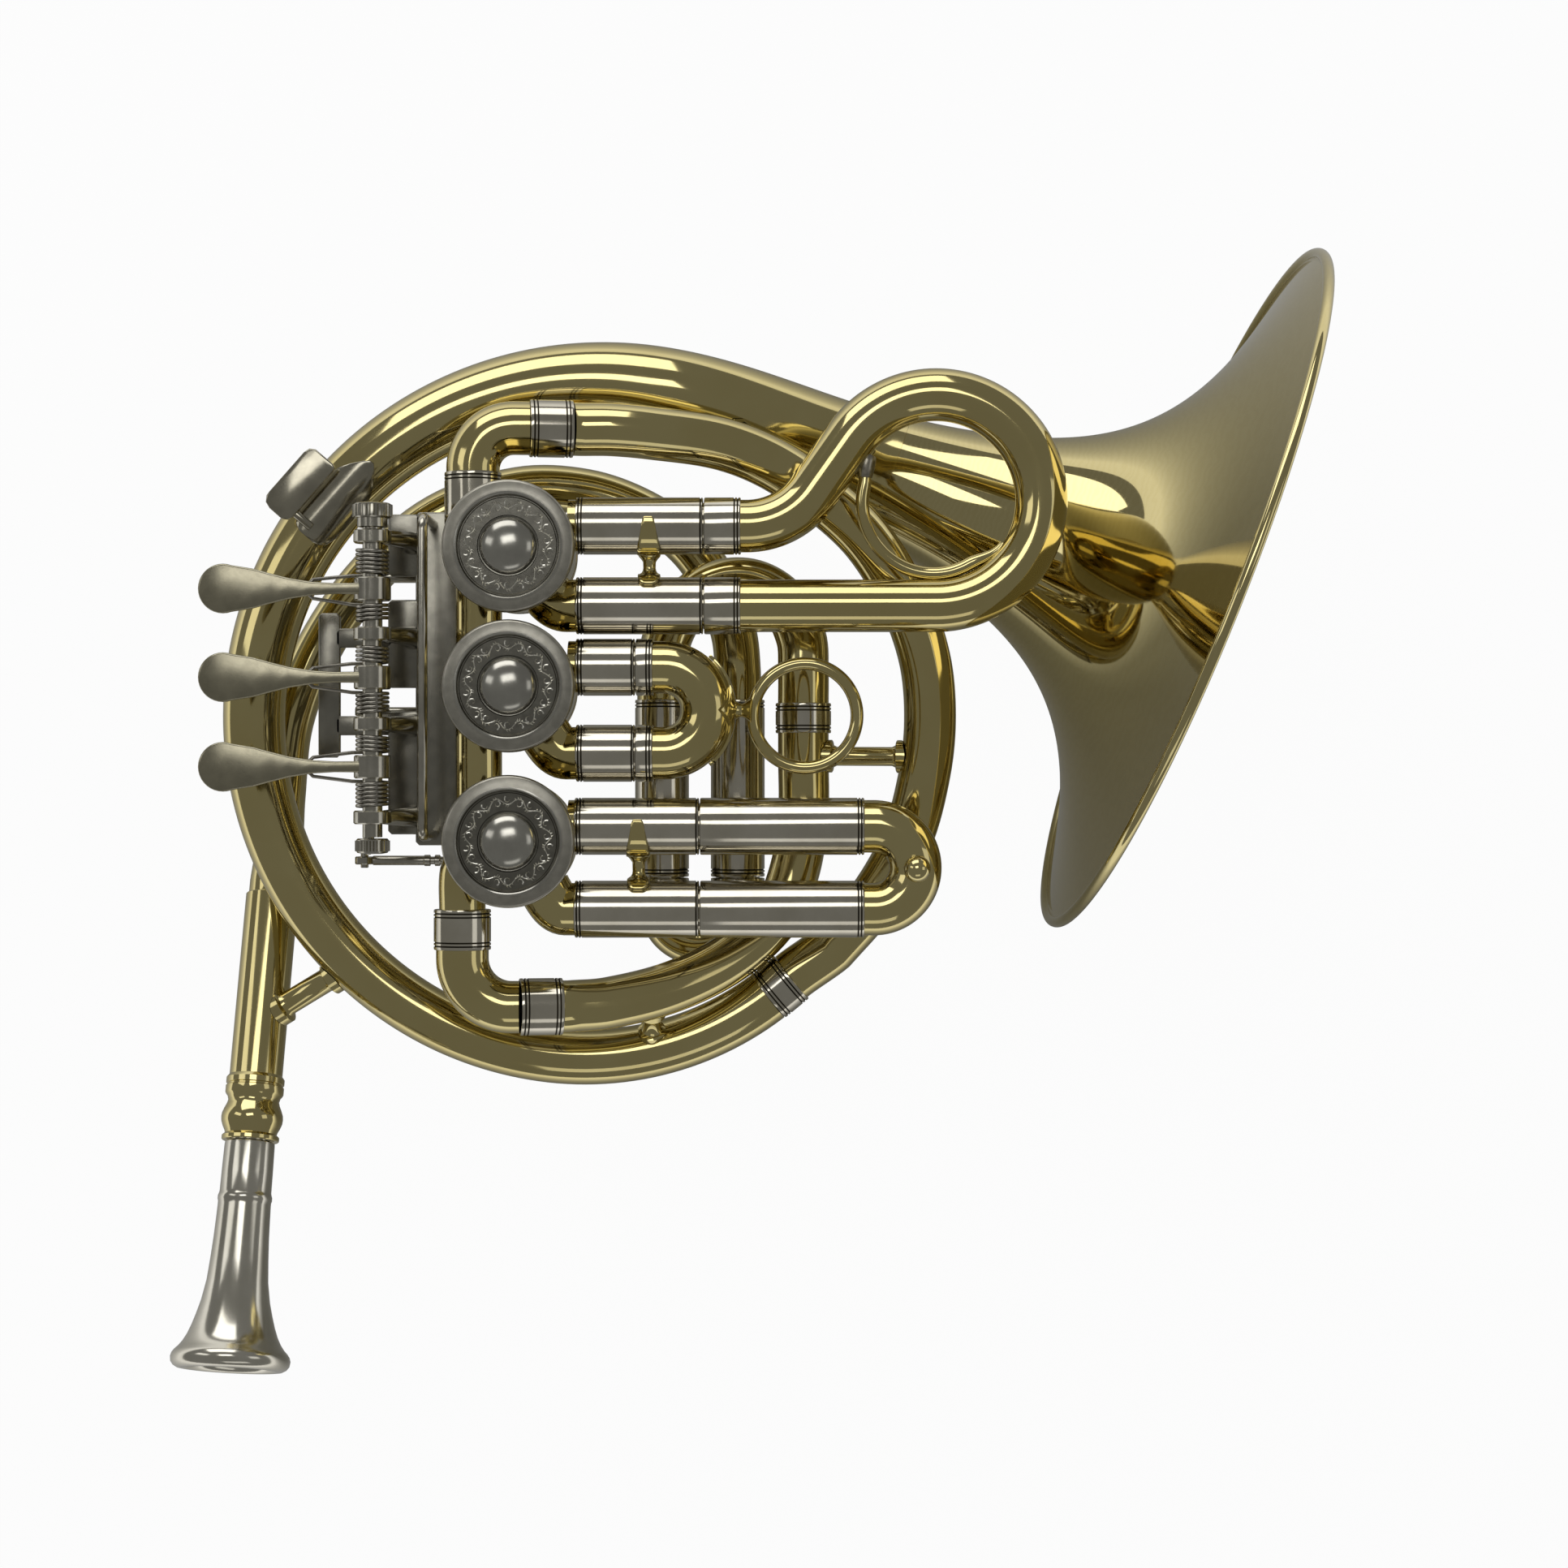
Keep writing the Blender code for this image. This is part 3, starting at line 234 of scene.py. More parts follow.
def lengths(points):
    """How far along the run each point lies."""
    out = [0.0]
    for a, b in zip(points, points[1:]):
        out.append(out[-1] + (b - a).length)
    return out


def shorten(points, distance):
    """The run with this much taken off its end."""
    points = list(points)
    while (points[-1] - points[-2]).length <= distance + SAME_SPOT:
        distance -= (points[-1] - points[-2]).length
        points.pop()
    way = (points[-2] - points[-1]).normalized()
    points[-1] = points[-1] + way * distance
    return points


print("a half turn of radius 10 measures", round(lengths(arc((0, 0), 10, 0, 180, 48))[-1], 2), "mm")

# %% [markdown]
# ## Turned shapes
# A turned piece is a profile spun by the Screw modifier. Each result becomes a plain mesh that
# sits at the origin, as CAD nodes do. Where a piece meets a tube, a Boolean cuts it to fit.


# %% Turn and carve
WELD, TINY = 4e-6, 2e-6
UP, ALONG = (0, 0, 1), (0, 1, 0)
scene_pieces = bpy.data.collections.new("dressed_horn")
bpy.context.scene.collection.children.link(scene_pieces)


def world(point):
    """A drawing point in mm as a place in the scene, in metres."""
    return (Vector(point) + ORIGIN) * MM


def axes_at(base, axis):
    """A frame at the base whose Z runs along the axis."""
    z = Vector(axis).normalized()
    hint = vec(0, 0, 1)
    if abs(hint.dot(z)) > 0.95:
        hint = vec(1, 0, 0)
    y = z.cross(hint).normalized()
    return Matrix.Translation(world(base)) @ Matrix((y.cross(z), y, z)).transposed().to_4x4()


def mesh_from(bm, name, recalc=True):
    """The bmesh as a mesh, with its faces turned outward."""
    if recalc:
        bmesh.ops.recalc_face_normals(bm, faces=bm.faces)
    mesh = bpy.data.meshes.new(name)
    bm.to_mesh(mesh)
    bm.free()
    return mesh


def plain(obj):
    """The object's finished shape as a plain mesh with its place in it; the object goes."""
    bpy.context.view_layer.update()
    graph = bpy.context.evaluated_depsgraph_get()
    mesh = bpy.data.meshes.new_from_object(obj.evaluated_get(graph))
    mesh.transform(obj.matrix_world)
    bpy.data.objects.remove(obj, do_unlink=True)
    bm = bmesh.new()
    bm.from_mesh(mesh)
    bmesh.ops.remove_doubles(bm, verts=bm.verts, dist=TINY)
    bmesh.ops.recalc_face_normals(bm, faces=bm.faces)
    bm.to_mesh(mesh)
    bm.free()
    return mesh


def worker(data, matrix=None):
    """A passing object that carries a mesh while modifiers work on it."""
    obj = bpy.data.objects.new("worker", data)
    scene_pieces.objects.link(obj)
    if matrix is not None:
        obj.matrix_world = matrix
    return obj


def modified(obj, name, kind, **settings):
    """Adds a modifier with these settings and returns it."""
    modifier = obj.modifiers.new(name, kind)
    for key, value in settings.items():
        setattr(modifier, key, value)
    return modifier


def carved(mesh, *tools):
    """The mesh with the shapes of the tools cut away, by exact Booleans."""
    obj = worker(mesh)
    tools = [worker(tool) for tool in tools]
    for tool in tools:
        modified(obj, "Carve", "BOOLEAN", operation="DIFFERENCE", solver="EXACT", object=tool)
    result = plain(obj)
    for tool in tools:
        bpy.data.objects.remove(tool, do_unlink=True)
    return result


def turned(profile, base, axis, steps=64, ring=False):
    """A profile of (radius, height) spun round an axis."""
    mesh = bpy.data.meshes.new("profile")
    edges = [(i, i + 1) for i in range(len(profile) - 1)] + ([(len(profile) - 1, 0)] if ring else [])
    mesh.from_pydata([(r * MM, 0.0, h * MM) for r, h in profile], edges, [])
    obj = worker(mesh, axes_at(base, axis))
    modified(obj, "Screw", "SCREW", angle=math.tau, steps=steps, render_steps=steps, use_merge_vertices=True,
             merge_threshold=WELD)
    return plain(obj)


print("points closer than", round(WELD / MM, 4), "mm are welded when a profile is spun")

# %% [markdown]
# ## Tubes from Geometry Nodes
# The tree takes a line whose points carry a radius, turns it into a curve and sweeps a circle
# along it, scaled by that radius. Its inputs have names, so the script can set them.


# %% Swept tubes
def socket(tree, name):
    """The identifier of a tree's input, by its name."""
    return next(s.identifier for s in tree.interface.items_tree if s.name == name and s.in_out == "INPUT")


def new_tree(name, shape_in, number_in, shape_out):
    """A tree with a shape, a whole number and a finish going in, and one shape coming out."""
    tree = bpy.data.node_groups.new(name, "GeometryNodeTree")
    for label, way, kind in ((shape_in, "INPUT", "Geometry"), (number_in, "INPUT", "Int"),
                             ("Finish", "INPUT", "Material"), (shape_out, "OUTPUT", "Geometry")):
        tree.interface.new_socket(label, in_out=way, socket_type=f"NodeSocket{kind}")
    return tree, tree.nodes.new("NodeGroupInput"), tree.nodes.new("NodeGroupOutput")


def finished(tree, shape, start, end):
    """Ends a tree: real geometry, then the finish, then the output."""
    real = tree.nodes.new("GeometryNodeRealizeInstances")
    paint = tree.nodes.new("GeometryNodeSetMaterial")
    wire(tree.links, (shape, real.inputs["Geometry"]), (real.outputs["Geometry"], paint.inputs["Geometry"]),
         (start.outputs["Finish"], paint.inputs["Material"]), (paint.outputs["Geometry"], end.inputs[0]))
    return tree


def tube_tree():
    """Geometry Nodes: a line with a radius at each point becomes a round tube."""
    tree, start, end = new_tree("bent_tube", "Line", "Sides", "Tube")
    nodes = tree.nodes
    line = nodes.new("GeometryNodeMeshToCurve")
    thick = add_node(nodes, "GeometryNodeInputNamedAttribute", {"Name": "thick"}, data_type="FLOAT")
    circle = add_node(nodes, "GeometryNodeCurvePrimitiveCircle", {"Radius": MM})
    sweep = add_node(nodes, "GeometryNodeCurveToMesh", {"Fill Caps": True})
    wire(tree.links, (start.outputs["Line"], line.inputs["Mesh"]),
         (start.outputs["Sides"], circle.inputs["Resolution"]),
         (line.outputs["Curve"], sweep.inputs["Curve"]),
         (thick.outputs["Attribute"], sweep.inputs["Scale"]),
         (circle.outputs["Curve"], sweep.inputs["Profile Curve"]))
    return finished(tree, sweep.outputs["Mesh"], start, end)


TUBE = tube_tree()


def grown(obj, tree, number, count, finish):
    """The object's shape after one of the trees, with its inputs set."""
    nodes = modified(obj, "Nodes", "NODES", node_group=tree)
    nodes[socket(tree, number)] = count
    nodes[socket(tree, "Finish")] = finish
    return plain(obj)


def swept(points, radii, sides=40):
    """A round tube along the points; radii is one number or one for each point."""
    if not isinstance(radii, (list, tuple)):
        radii = [radii] * len(points)
    mesh = bpy.data.meshes.new("line")
    mesh.from_pydata([tuple(world(p)) for p in points], [(i, i + 1) for i in range(len(points) - 1)], [])
    mesh.attributes.new("thick", "FLOAT", "POINT").data.foreach_set("value", [float(r) for r in radii])
    return grown(worker(mesh), TUBE, "Sides", sides, BRASS)


print("tube tree inputs:", [s.name for s in TUBE.interface.items_tree if s.in_out == "INPUT"])

# %% [markdown]
# ## Plates and pieces
# A plate is an outline raised to a thickness, and a draped sheet lies between two grids of
# points. Settling gives a piece its finish, its body, and the CAD nodes it stands for.


# %% Plates, sheets and settling
SHARP = math.radians(32)


def softened(obj, edge, segments, limit):
    """The object's shape with its sharp edges bevelled."""
    modified(obj, "Bevel", "BEVEL", width=edge * MM, segments=segments, limit_method="ANGLE",
             angle_limit=math.radians(limit))
    return plain(obj)


def slab(outline, low, high, base=(0, 0, 0), frame_turn=None, edge=0.35):
    """A flat plate with rounded edges; the outline is in the plate's own X and Y."""
    bm = bmesh.new()
    face = bm.faces.new([bm.verts.new((x * MM, y * MM, low * MM)) for x, y in outline])
    top = bmesh.ops.extrude_face_region(bm, geom=[face])
    moved = [g for g in top["geom"] if isinstance(g, bmesh.types.BMVert)]
    bmesh.ops.translate(bm, verts=moved, vec=(0, 0, (high - low) * MM))
    place = Matrix.Translation(world(base)) @ (frame_turn if frame_turn is not None else Matrix.Identity(4))
    return softened(worker(mesh_from(bm, "slab"), place), edge, 3, 50)


def merged(*meshes):
    """Several meshes as one, each with its own finishes kept."""
    bm = bmesh.new()
    finishes = []
    for mesh in meshes:
        shift = []
        for material in mesh.materials:
            if material not in finishes:
                finishes.append(material)
            shift.append(finishes.index(material))
        before = len(bm.faces)
        bm.from_mesh(mesh)
        bm.faces.ensure_lookup_table()
        for face in bm.faces[before:]:
            face.material_index = shift[face.material_index] if shift else 0
    out = mesh_from(bm, "merged", recalc=False)
    for material in finishes:
        out.materials.append(material)
    return out


def painted(mesh, finish):
    """The mesh in one finish."""
    mesh.materials.clear()
    mesh.materials.append(finish)
    for face in mesh.polygons:
        face.material_index = 0
    return mesh


def settle(name, body, finish, covers, *meshes):
    """One dressed piece: its meshes, its finish, the body it rides on and the nodes it stands for."""
    meshes = [m if len(m.materials) and m.materials[0] is not BRASS else painted(m, finish) for m in meshes]
    mesh = merged(*meshes) if len(meshes) > 1 else meshes[0]
    mesh.name = name
    mesh.shade_smooth()
    mesh.set_sharp_from_angle(angle=SHARP)
    obj = bpy.data.objects.new(name, mesh)
    scene_pieces.objects.link(obj)
    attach(obj, body)
    if covers:
        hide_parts(*covers)
    return obj


def sheet(low, high, soft):
    """A closed sheet between two grids of points, with its edges softened."""
    bm = bmesh.new()
    low, high = ([[bm.verts.new(world(p)) for p in row] for row in grid] for grid in (low, high))
    rows, cross = len(low) - 1, len(low[0]) - 1
    for i in range(rows):
        for k in range(cross):
            bm.faces.new((low[i][k], low[i + 1][k], low[i + 1][k + 1], low[i][k + 1]))
            bm.faces.new((high[i][k], high[i][k + 1], high[i + 1][k + 1], high[i + 1][k]))
        for k in (0, cross):
            bm.faces.new((low[i][k], high[i][k], high[i + 1][k], low[i + 1][k]))
    for i in (0, rows):
        for k in range(cross):
            bm.faces.new((low[i][k], low[i][k + 1], high[i][k + 1], high[i][k]))
    return softened(worker(mesh_from(bm, "sheet")), soft, 2, 55)


def rod(start, end, radius, steps=32, edge=0.2):
    """A round bar with soft ends."""
    start, end = Vector(start), Vector(end)
    length = (end - start).length
    edge = min(edge, radius / 3, length / 3)
    soft = edge * 0.3
    profile = [(0, length), (radius - edge, length), (radius - soft, length - soft), (radius, length - edge),
               (radius, edge), (radius - soft, soft), (radius - edge, 0), (0, 0)]
    return turned(profile, start, end - start, steps)


def upright(base, radius):
    """A tall cylinder over a spot, used as a cutter where a tube meets a drum."""
    return rod((*base, 0), (*base, 60), radius, 96, 0.01)


print("edges sharper than", round(math.degrees(SHARP)), "degrees stay crisp")

# %% [markdown]
# ## The bell
# The bell is one sheet of brass spun over a mandrel, widening faster and faster toward a
# wire-rolled rim. The flare follows a power of the distance from the rim, so the profile
# is computed, not drawn, and then turned.

# %% Bell
BELL_CENTRE = vec(94.7, 46.15, -17.5)
turn, tilt = math.radians(-20.9), math.radians(-2.4)
MOUTH = vec(math.cos(tilt) * math.cos(turn), math.cos(tilt) * math.sin(turn), math.sin(tilt))
INNER_BRASS = metal("bell_brass", (0.645, 0.55, 0.267), (0.628, 0.532, 0.252), 0.045, 0.006, 30, coat=0.25,
                    spread=0.03, spin=(world(BELL_CENTRE), MOUTH.to_track_quat("Z", "Y").to_euler()))
BELL_RADIUS, BELL_LENGTH, BELL_WALL = 86.0, 75.0, 0.9
THROAT_R, FLARE, POWER = 5.2, 21.0, 1.4
BEAD, BEAD_BACK, BEAD_STEPS = 1.35, 0.35, 24
RIM_R = BELL_RADIUS - 0.15


def bell_radius(s):
    """The bell's radius at a distance from its rim."""
    return THROAT_R + (BELL_RADIUS - THROAT_R) * (FLARE / (s + FLARE)) ** POWER


stations = [0.6 + (BELL_LENGTH - 0.6) * (i / 60) ** 1.7 for i in range(61)]
outer = [(bell_radius(s), -s) for s in stations]
inner = [(bell_radius(s) - BELL_WALL * (1 + 1.2 / (1 + s / 9)), 0.35 - s) for s in stations[3:]]
bead = []
for i in range(BEAD_STEPS + 1):
    a = math.radians(-165 + 265 * i / BEAD_STEPS)
    bead.append((RIM_R - BEAD + BEAD * math.cos(a), BEAD * math.sin(a) - BEAD_BACK))
bead.append((RIM_R - 3.3 * BEAD, 0.0))
settle("bell_flare", "horn", INNER_BRASS, ["bell"],
       turned(outer[::-1] + bead + inner, BELL_CENTRE, MOUTH, 192, ring=True))
print("bell mouth across, mm:", 2 * RIM_R)

# %% [markdown]
# ## The large tapered loop
# The bell's tail goes on round the whole horn and narrows all the way, by the same law
# as the bell. Each point of the line gets the radius for its distance from the rim.

# %% Bell branch
LOOP = (-44.8, 14.8)
LOOP_R = 78.3
START, END = 80.0, 305.3
CURL, CURL_FROM = 2.5, 262.0


def loop_spot(angle):
    """The point of the loop's line at this angle in degrees."""
    a = math.radians(angle)
    r = LOOP_R - CURL * max(0.0, (angle - CURL_FROM) / (END - CURL_FROM)) ** 2
    return vec(LOOP[0] + r * math.cos(a), LOOP[1] + r * math.sin(a), 0)


throat = BELL_CENTRE - MOUTH * (BELL_LENGTH + 0.05)
loop_start = loop_spot(START)
loop_way = (loop_spot(START + 1) - loop_spot(START - 1)).normalized()
reach = (loop_start - throat).length
neck = join([throat], blend(throat - MOUTH * 1.5, -MOUTH * reach, loop_start, loop_way * reach, 40))
branch_run = join(neck, [loop_spot(START + (END - START) * i / 150) for i in range(151)])
branch_end = branch_run[-1]
end_way = (branch_run[-1] - branch_run[-2]).normalized()
branch_radii = [bell_radius(BELL_LENGTH + s) for s in lengths(branch_run)]
FERRULE_HALF = 3.5
THROAT_CONE = [(0, 4), (13.4, 4), (13.2, 0), (11.4, -12), (0, -26)]
cut_run = shorten(branch_run, FERRULE_HALF)
tail = swept(cut_run, branch_radii[:len(cut_run)], 64)
settle("bell_tail_loop", "horn", BRASS, ["bell_branch"],
       carved(tail, turned(THROAT_CONE, throat, MOUTH, 64)))


def loop_point(angle):
    """The point, the way and the radius of the loop at this angle."""
    way = (loop_spot(angle + 1) - loop_spot(angle - 1)).normalized()
    travelled = lengths(neck)[-1] + LOOP_R * math.radians(angle - START)
    return loop_spot(angle), way, bell_radius(BELL_LENGTH + travelled)


print("loop radius at its two ends, mm:", round(branch_radii[0], 2), round(branch_radii[-1], 2))

# %% [markdown]
# ## Sleeves and ferrules
# Where two tubes meet, the maker slips a nickel silver ring over the joint, and the slides
# run in nickel sleeves. Each has a pair of fine lines cut near its ends, which catch the
# light, so they are cut into the turned profile.


# %% Sleeves
CUT_HALF, CUT_REACH, CUT_DEEP = 0.18, 0.2, 0.25


def sleeve_profile(length, radius, bore, lines):
    """A ring with soft ends and a fine cut at each line's height."""
    deep = radius - CUT_DEEP
    profile = [(bore, 0), (deep, 0), (radius - 0.05, 0.1), (radius, 0.3)]
    for at in sorted(lines):
        profile += [(radius, at - CUT_HALF), (deep, at - 0.12), (deep, at + 0.12), (radius, at + CUT_HALF)]
    return profile + [(radius, length - 0.3), (radius - 0.05, length - 0.1), (deep, length), (bore, length)]


def lined_ring(start, end, radius, bore, lines):
    """A turned ring whose fine cuts are painted dark, as painted shade in the grooves."""
    start, end = Vector(start), Vector(end)
    length, way = (end - start).length, (end - start).normalized()
    lines = [at if at >= 0 else length + at for at in lines]
    mesh = painted(turned(sleeve_profile(length, radius, bore, lines), start, way, 72, ring=True), NICKEL)
    # painted shade: the faces inside each fine cut take the near-black groove_shade finish
    mesh.materials.append(SHADE)
    base = world(start)
    for face in mesh.polygons:
        height = (face.center - base).dot(way) / MM
        if any(abs(height - at) < CUT_REACH for at in lines):
            face.material_index = 1
    return mesh


def sleeve(name, node, start, end, radius=6.45, bore=5.0, lines=(0.9, 1.7, -0.9, -1.7)):
    settle(name, "horn", NICKEL, [node], lined_ring(start, end, radius, bore, lines))


print("a fine cut is", 2 * CUT_HALF, "mm wide and", CUT_DEEP, "mm deep")

# %% [markdown]
# ## The fixed rings
# These sit where tubes meet: at the end of the loop, at both elbows, at the first and third
# valves, in the middle and on the tuning slide. The names that start with top, low, side and
# TUNE are the places that the tubes below are drawn to.

# %% Ferrules and collars
BRANCH_R, BOW_R, LEAD_R, TUNING_R = 6.0, 5.9, 5.5, 5.6
SLEEVE_R, SLEEVE_BORE, LEG_R = 6.4, 5.5, 5.2
sleeve("loop_ferrule", "branch_ferrule", branch_end - end_way * FERRULE_HALF,
       branch_end + end_way * FERRULE_HALF)
top_turn_r = 9.1
top_x = VALVE_X - 9.3
top_y = VALVE_Y[0] + 18.6
top_line = top_y + top_turn_r
top_f0, top_f1 = vec(-57.2, top_line, PORT_Z - 0.4), vec(-47.5, top_line, 22.2)
sleeve("upper_ferrule", "top_ferrule", top_f0, top_f1)
collar_top = top_y - 0.9
low_x, low_top, low_end = VALVE_X - 11.7, VALVE_Y[2] - 15.5, VALVE_Y[2] - 24.6
low_turn = 11.0
low_arc_y = low_end - 1.9
low_line = low_arc_y - low_turn
sleeve("third_valve_collar", "bottom_collar", (low_x, low_end, PORT_Z), (low_x, low_top, PORT_Z), SLEEVE_R)
bottom_f0, bottom_f1 = vec(-59.4, low_line, PORT_Z - 0.1), vec(-49.9, low_line, 22.2)
bottom_way = (bottom_f1 - bottom_f0).normalized()
sleeve("lower_ferrule", "bottom_ferrule", bottom_f0, bottom_f1)
side_x, side_low, side_high = 4.5, 11.8, 18.8
sleeve("middle_ferrule", "side_ferrule", (side_x, side_low, 0), (side_x, side_high, 0))
TUNE_X, TUNE_Z, TUNE_TOP, TUNE_END = (-29.0, -11.0), -16.0, 20.0, -22.0
for side, x in zip(("left", "right"), TUNE_X):
    sleeve(f"tuning_outer_{side}", f"tuning_sleeve_{side}", (x, TUNE_END, TUNE_Z), (x, TUNE_TOP, TUNE_Z),
           SLEEVE_R, SLEEVE_BORE)

collar = lined_ring((top_x, VALVE_Y[0] + 6, PORT_Z), (top_x, collar_top, PORT_Z), SLEEVE_R, 5.0,
                    (-0.9, -1.7))
settle("first_valve_collar", "horn", NICKEL, ["top_collar"],
       carved(collar, upright((VALVE_X, VALVE_Y[0]), 13.35)))

print("ferrules and collars: 8, outside radius", SLEEVE_R, "to 6.45 mm")

# %% [markdown]
# ## Inner tubes
# These plain tubes are bent from straight stock, so their radius never changes. They are
# drawn from the points where the real ones pass, and each ends inside its ferrule.

# %% Inner branch, elbows, lower branch, bow and lead pipe
inner_points = [(-45.6, top_line, 21.8), (-39, top_line, 21.4), (-30.4, top_line - 0.6, 20),
                (-14.7, 77.4, 16), (-3, 73.2, 13), (8.1, 65.9, 11.2), (19.1, 55.8, 10.5),
                (27.6, 42.1, 9), (32.3, 29.1, 7), (33.7, 16.1, 5), (32.6, 3, 4),
                (28.4, -13, 2), (20.5, -27.1, 1), (11.1, -38.1, 0)]
arrive = branch_end + end_way * (FERRULE_HALF + 0.05)
inner_run = join([top_f1], smooth(inner_points),
                 blend(inner_points[-1], -end_way * 10, arrive, -end_way * 10, 10))
settle("inner_tube", "horn", BRASS, ["inner_branch"], swept(inner_run, BRANCH_R))

elbow = join([vec(top_x, collar_top, PORT_Z)],
             arc((top_x + top_turn_r, top_y), top_turn_r, 180, 90, 24), [top_f0])
settle("upper_elbow", "horn", BRASS, ["top_elbow"], swept(elbow, BRANCH_R))
elbow = join([vec(low_x, low_end, PORT_Z)],
             arc((low_x + low_turn, low_arc_y), low_turn, 180, 270, 24), [bottom_f0])
settle("lower_elbow", "horn", BRASS, ["bottom_elbow"], swept(elbow, BOW_R))

lower_points = [bottom_f1 + bottom_way * 1.2, (-39.7, -49.6, 18), (-25.2, -46.2, 12), (-12.3, -40, 6),
                (-2.1, -30.8, 2), (2.6, -19.6, 0), (side_x, -6.4, 0), (side_x, 6, 0)]
lower_run = join([bottom_f1], smooth(lower_points), [vec(side_x, side_low, 0)])
settle("lower_tube", "horn", BRASS, ["lower_branch"], swept(lower_run, BOW_R))

left_x, right_x = TUNE_X
bow_points = [(side_x, side_high, 0), (side_x, 26, 0), (4, 34, -0.5), (0, 42, -1.5), (-7, 46.5, -2.5),
              (-15, 46.5, -2.6), (-22, 43, -5.6), (-27, 36, -10.8), (left_x, 28, -15),
              (left_x, TUNE_TOP + 1, TUNE_Z)]
settle("upper_bow_tube", "horn", BRASS, ["upper_bow"],
       swept(join(smooth(bow_points), [vec(left_x, TUNE_TOP, TUNE_Z)]), BOW_R))

toward = Vector((-0.044, -0.963, 0.259)).normalized()
hold = vec(-122.4, -55.2, -4.8)
lead_points = [hold + toward * -33, (-119.6, -14, -14), (-119, -3, -14), (-117, 15, -14),
               (-110, 33, -15), (-98, 50, -15), (-82, 63.5, -15), (-63, 69.8, -15), (-47, 69.3, -15),
               (-33.5, 64.5, -15.3), (-23, 57, -16), (-16, 47, -16.6), (-12, 36, -16.4),
               (right_x, 27, TUNE_Z), (right_x, TUNE_TOP, TUNE_Z)]
settle("lead_tube", "horn", BRASS, ["lead_pipe"],
       swept(join([hold + toward * -30], smooth(lead_points)), LEAD_R))

print("inner tube, mm:", round(lengths(inner_run)[-1]), "lower tube, mm:", round(lengths(lower_run)[-1]))

# %% [markdown]
# ## Valves
# Each valve is a short brass drum with a bearing under it. Two stubs lead from it to its
# slide's sleeves, and links join the second drum to its neighbours.

# %% Valve casings
SLIDE_Y = ((57.9, 40.0), (26.2, 6.9), (-9.5, -28.1))
SLEEVE_X = (-46.6, -46.6, -46.9)
SLEEVE_END = (-18.2, -33.5, -19.1)
FERRULE_END = (-9.7, -29.3, 18.0)
CASING_R, CASING_BORE, LINK_R = 13.3, 11.2, 5.2
low_band = [(CASING_BORE, 12.3), (12.9, 12.3), (13.3, 12.7), (13.3, 14.0), (13.0, 14.3), (13.0, 14.8),
            (13.3, 15.1)]
high_band = [(13.3, 35.4), (13.0, 35.7), (13.0, 36.2), (13.3, 36.5), (13.3, 37.9), (12.9, 38.3),
             (CASING_BORE, 38.3)]
for i, y in enumerate(VALVE_Y):
    upper, lower = SLIDE_Y[i]
    x_end = SLEEVE_X[i]
    start, stop = vec(VALVE_X + 4.5, y - 5.5, PORT_Z), vec(x_end - 2.2, lower, PORT_Z)
    bend = blend(start, vec(5.5, -1.4 * (y - lower - 5.5), 0), stop, vec(8.5, 0, 0), 20)
    bend = [p for p in bend if (p - vec(VALVE_X, y, PORT_Z)).length > CASING_BORE + 0.4]
    shapes = [turned(low_band + high_band, (VALVE_X, y, 0), UP, 96, ring=True),
              swept([vec(VALVE_X + 12.2, upper, PORT_Z), vec(x_end, upper, PORT_Z)], BOW_R),
              swept(bend + [vec(x_end, lower, PORT_Z)], BOW_R)]
    if i == 1:
        link_x = VALVE_X - 8
        for other, side in ((VALVE_Y[0], -1), (VALVE_Y[2], 1)):
            ends = [vec(link_x, y - side * 8.6, PORT_Z), vec(link_x, other + side * 6, PORT_Z)]
            link = swept(ends, LINK_R)
            shapes.append(carved(link, upright((VALVE_X, other), 12.2)))
    if i == 2:
        stub = [(low_x + 1.2, y - 4, PORT_Z), (low_x, y - 8, PORT_Z), (low_x, low_top, PORT_Z)]
        shapes.append(swept(smooth(stub, 6), LINK_R))
    settle(f"valve_drum_{i + 1}", "horn", BRASS, [f"valve_casing_{i + 1}"], *shapes)
    foot = [(2.9, 9.9), (2.9, 12.0), (13.1, 12.0), (13.3, 11.8), (13.3, 10.3), (12.9, 9.9)]
    settle(f"lower_bearing_{i + 1}", "horn", BRASS, [f"bottom_cap_{i + 1}"],
           turned(foot, (VALVE_X, y, 0), UP, 96, ring=True))

print("three drums of radius", CASING_R, "mm at y =", VALVE_Y)

# %% [markdown]
# ## A tree that sets things in a ring
# A screwed nickel cap closes each valve, with an engraved scroll round its dome. The scroll is
# one small spray of strokes that a Geometry Nodes tree sets round the circle, so its count is a
# single number.

# %% Scroll tree
def scroll_tree():
    """Geometry Nodes: one leaf spray set round a circle again and again."""
    tree, start, end = new_tree("leaf_scroll", "Spray", "Count", "Ring")
    nodes = tree.nodes
    points, index = nodes.new("GeometryNodePoints"), nodes.new("GeometryNodeInputIndex")
    share = add_node(nodes, "ShaderNodeMath", operation="DIVIDE")
    angle = add_node(nodes, "ShaderNodeMath", {1: math.tau}, operation="MULTIPLY")
    turn_z = nodes.new("ShaderNodeCombineXYZ")
    place = nodes.new("GeometryNodeInstanceOnPoints")
    wire(tree.links, (start.outputs["Count"], points.inputs["Count"]),
         (index.outputs["Index"], share.inputs[0]), (start.outputs["Count"], share.inputs[1]),
         (share.outputs[0], angle.inputs[0]), (angle.outputs[0], turn_z.inputs["Z"]),
         (points.outputs["Points"], place.inputs["Points"]),
         (start.outputs["Spray"], place.inputs["Instance"]),
         (turn_z.outputs["Vector"], place.inputs["Rotation"]))
    return finished(tree, place.outputs["Instances"], start, end)


SCROLL = scroll_tree()
print("scroll tree inputs:", [s.name for s in SCROLL.interface.items_tree if s.in_out == "INPUT"])
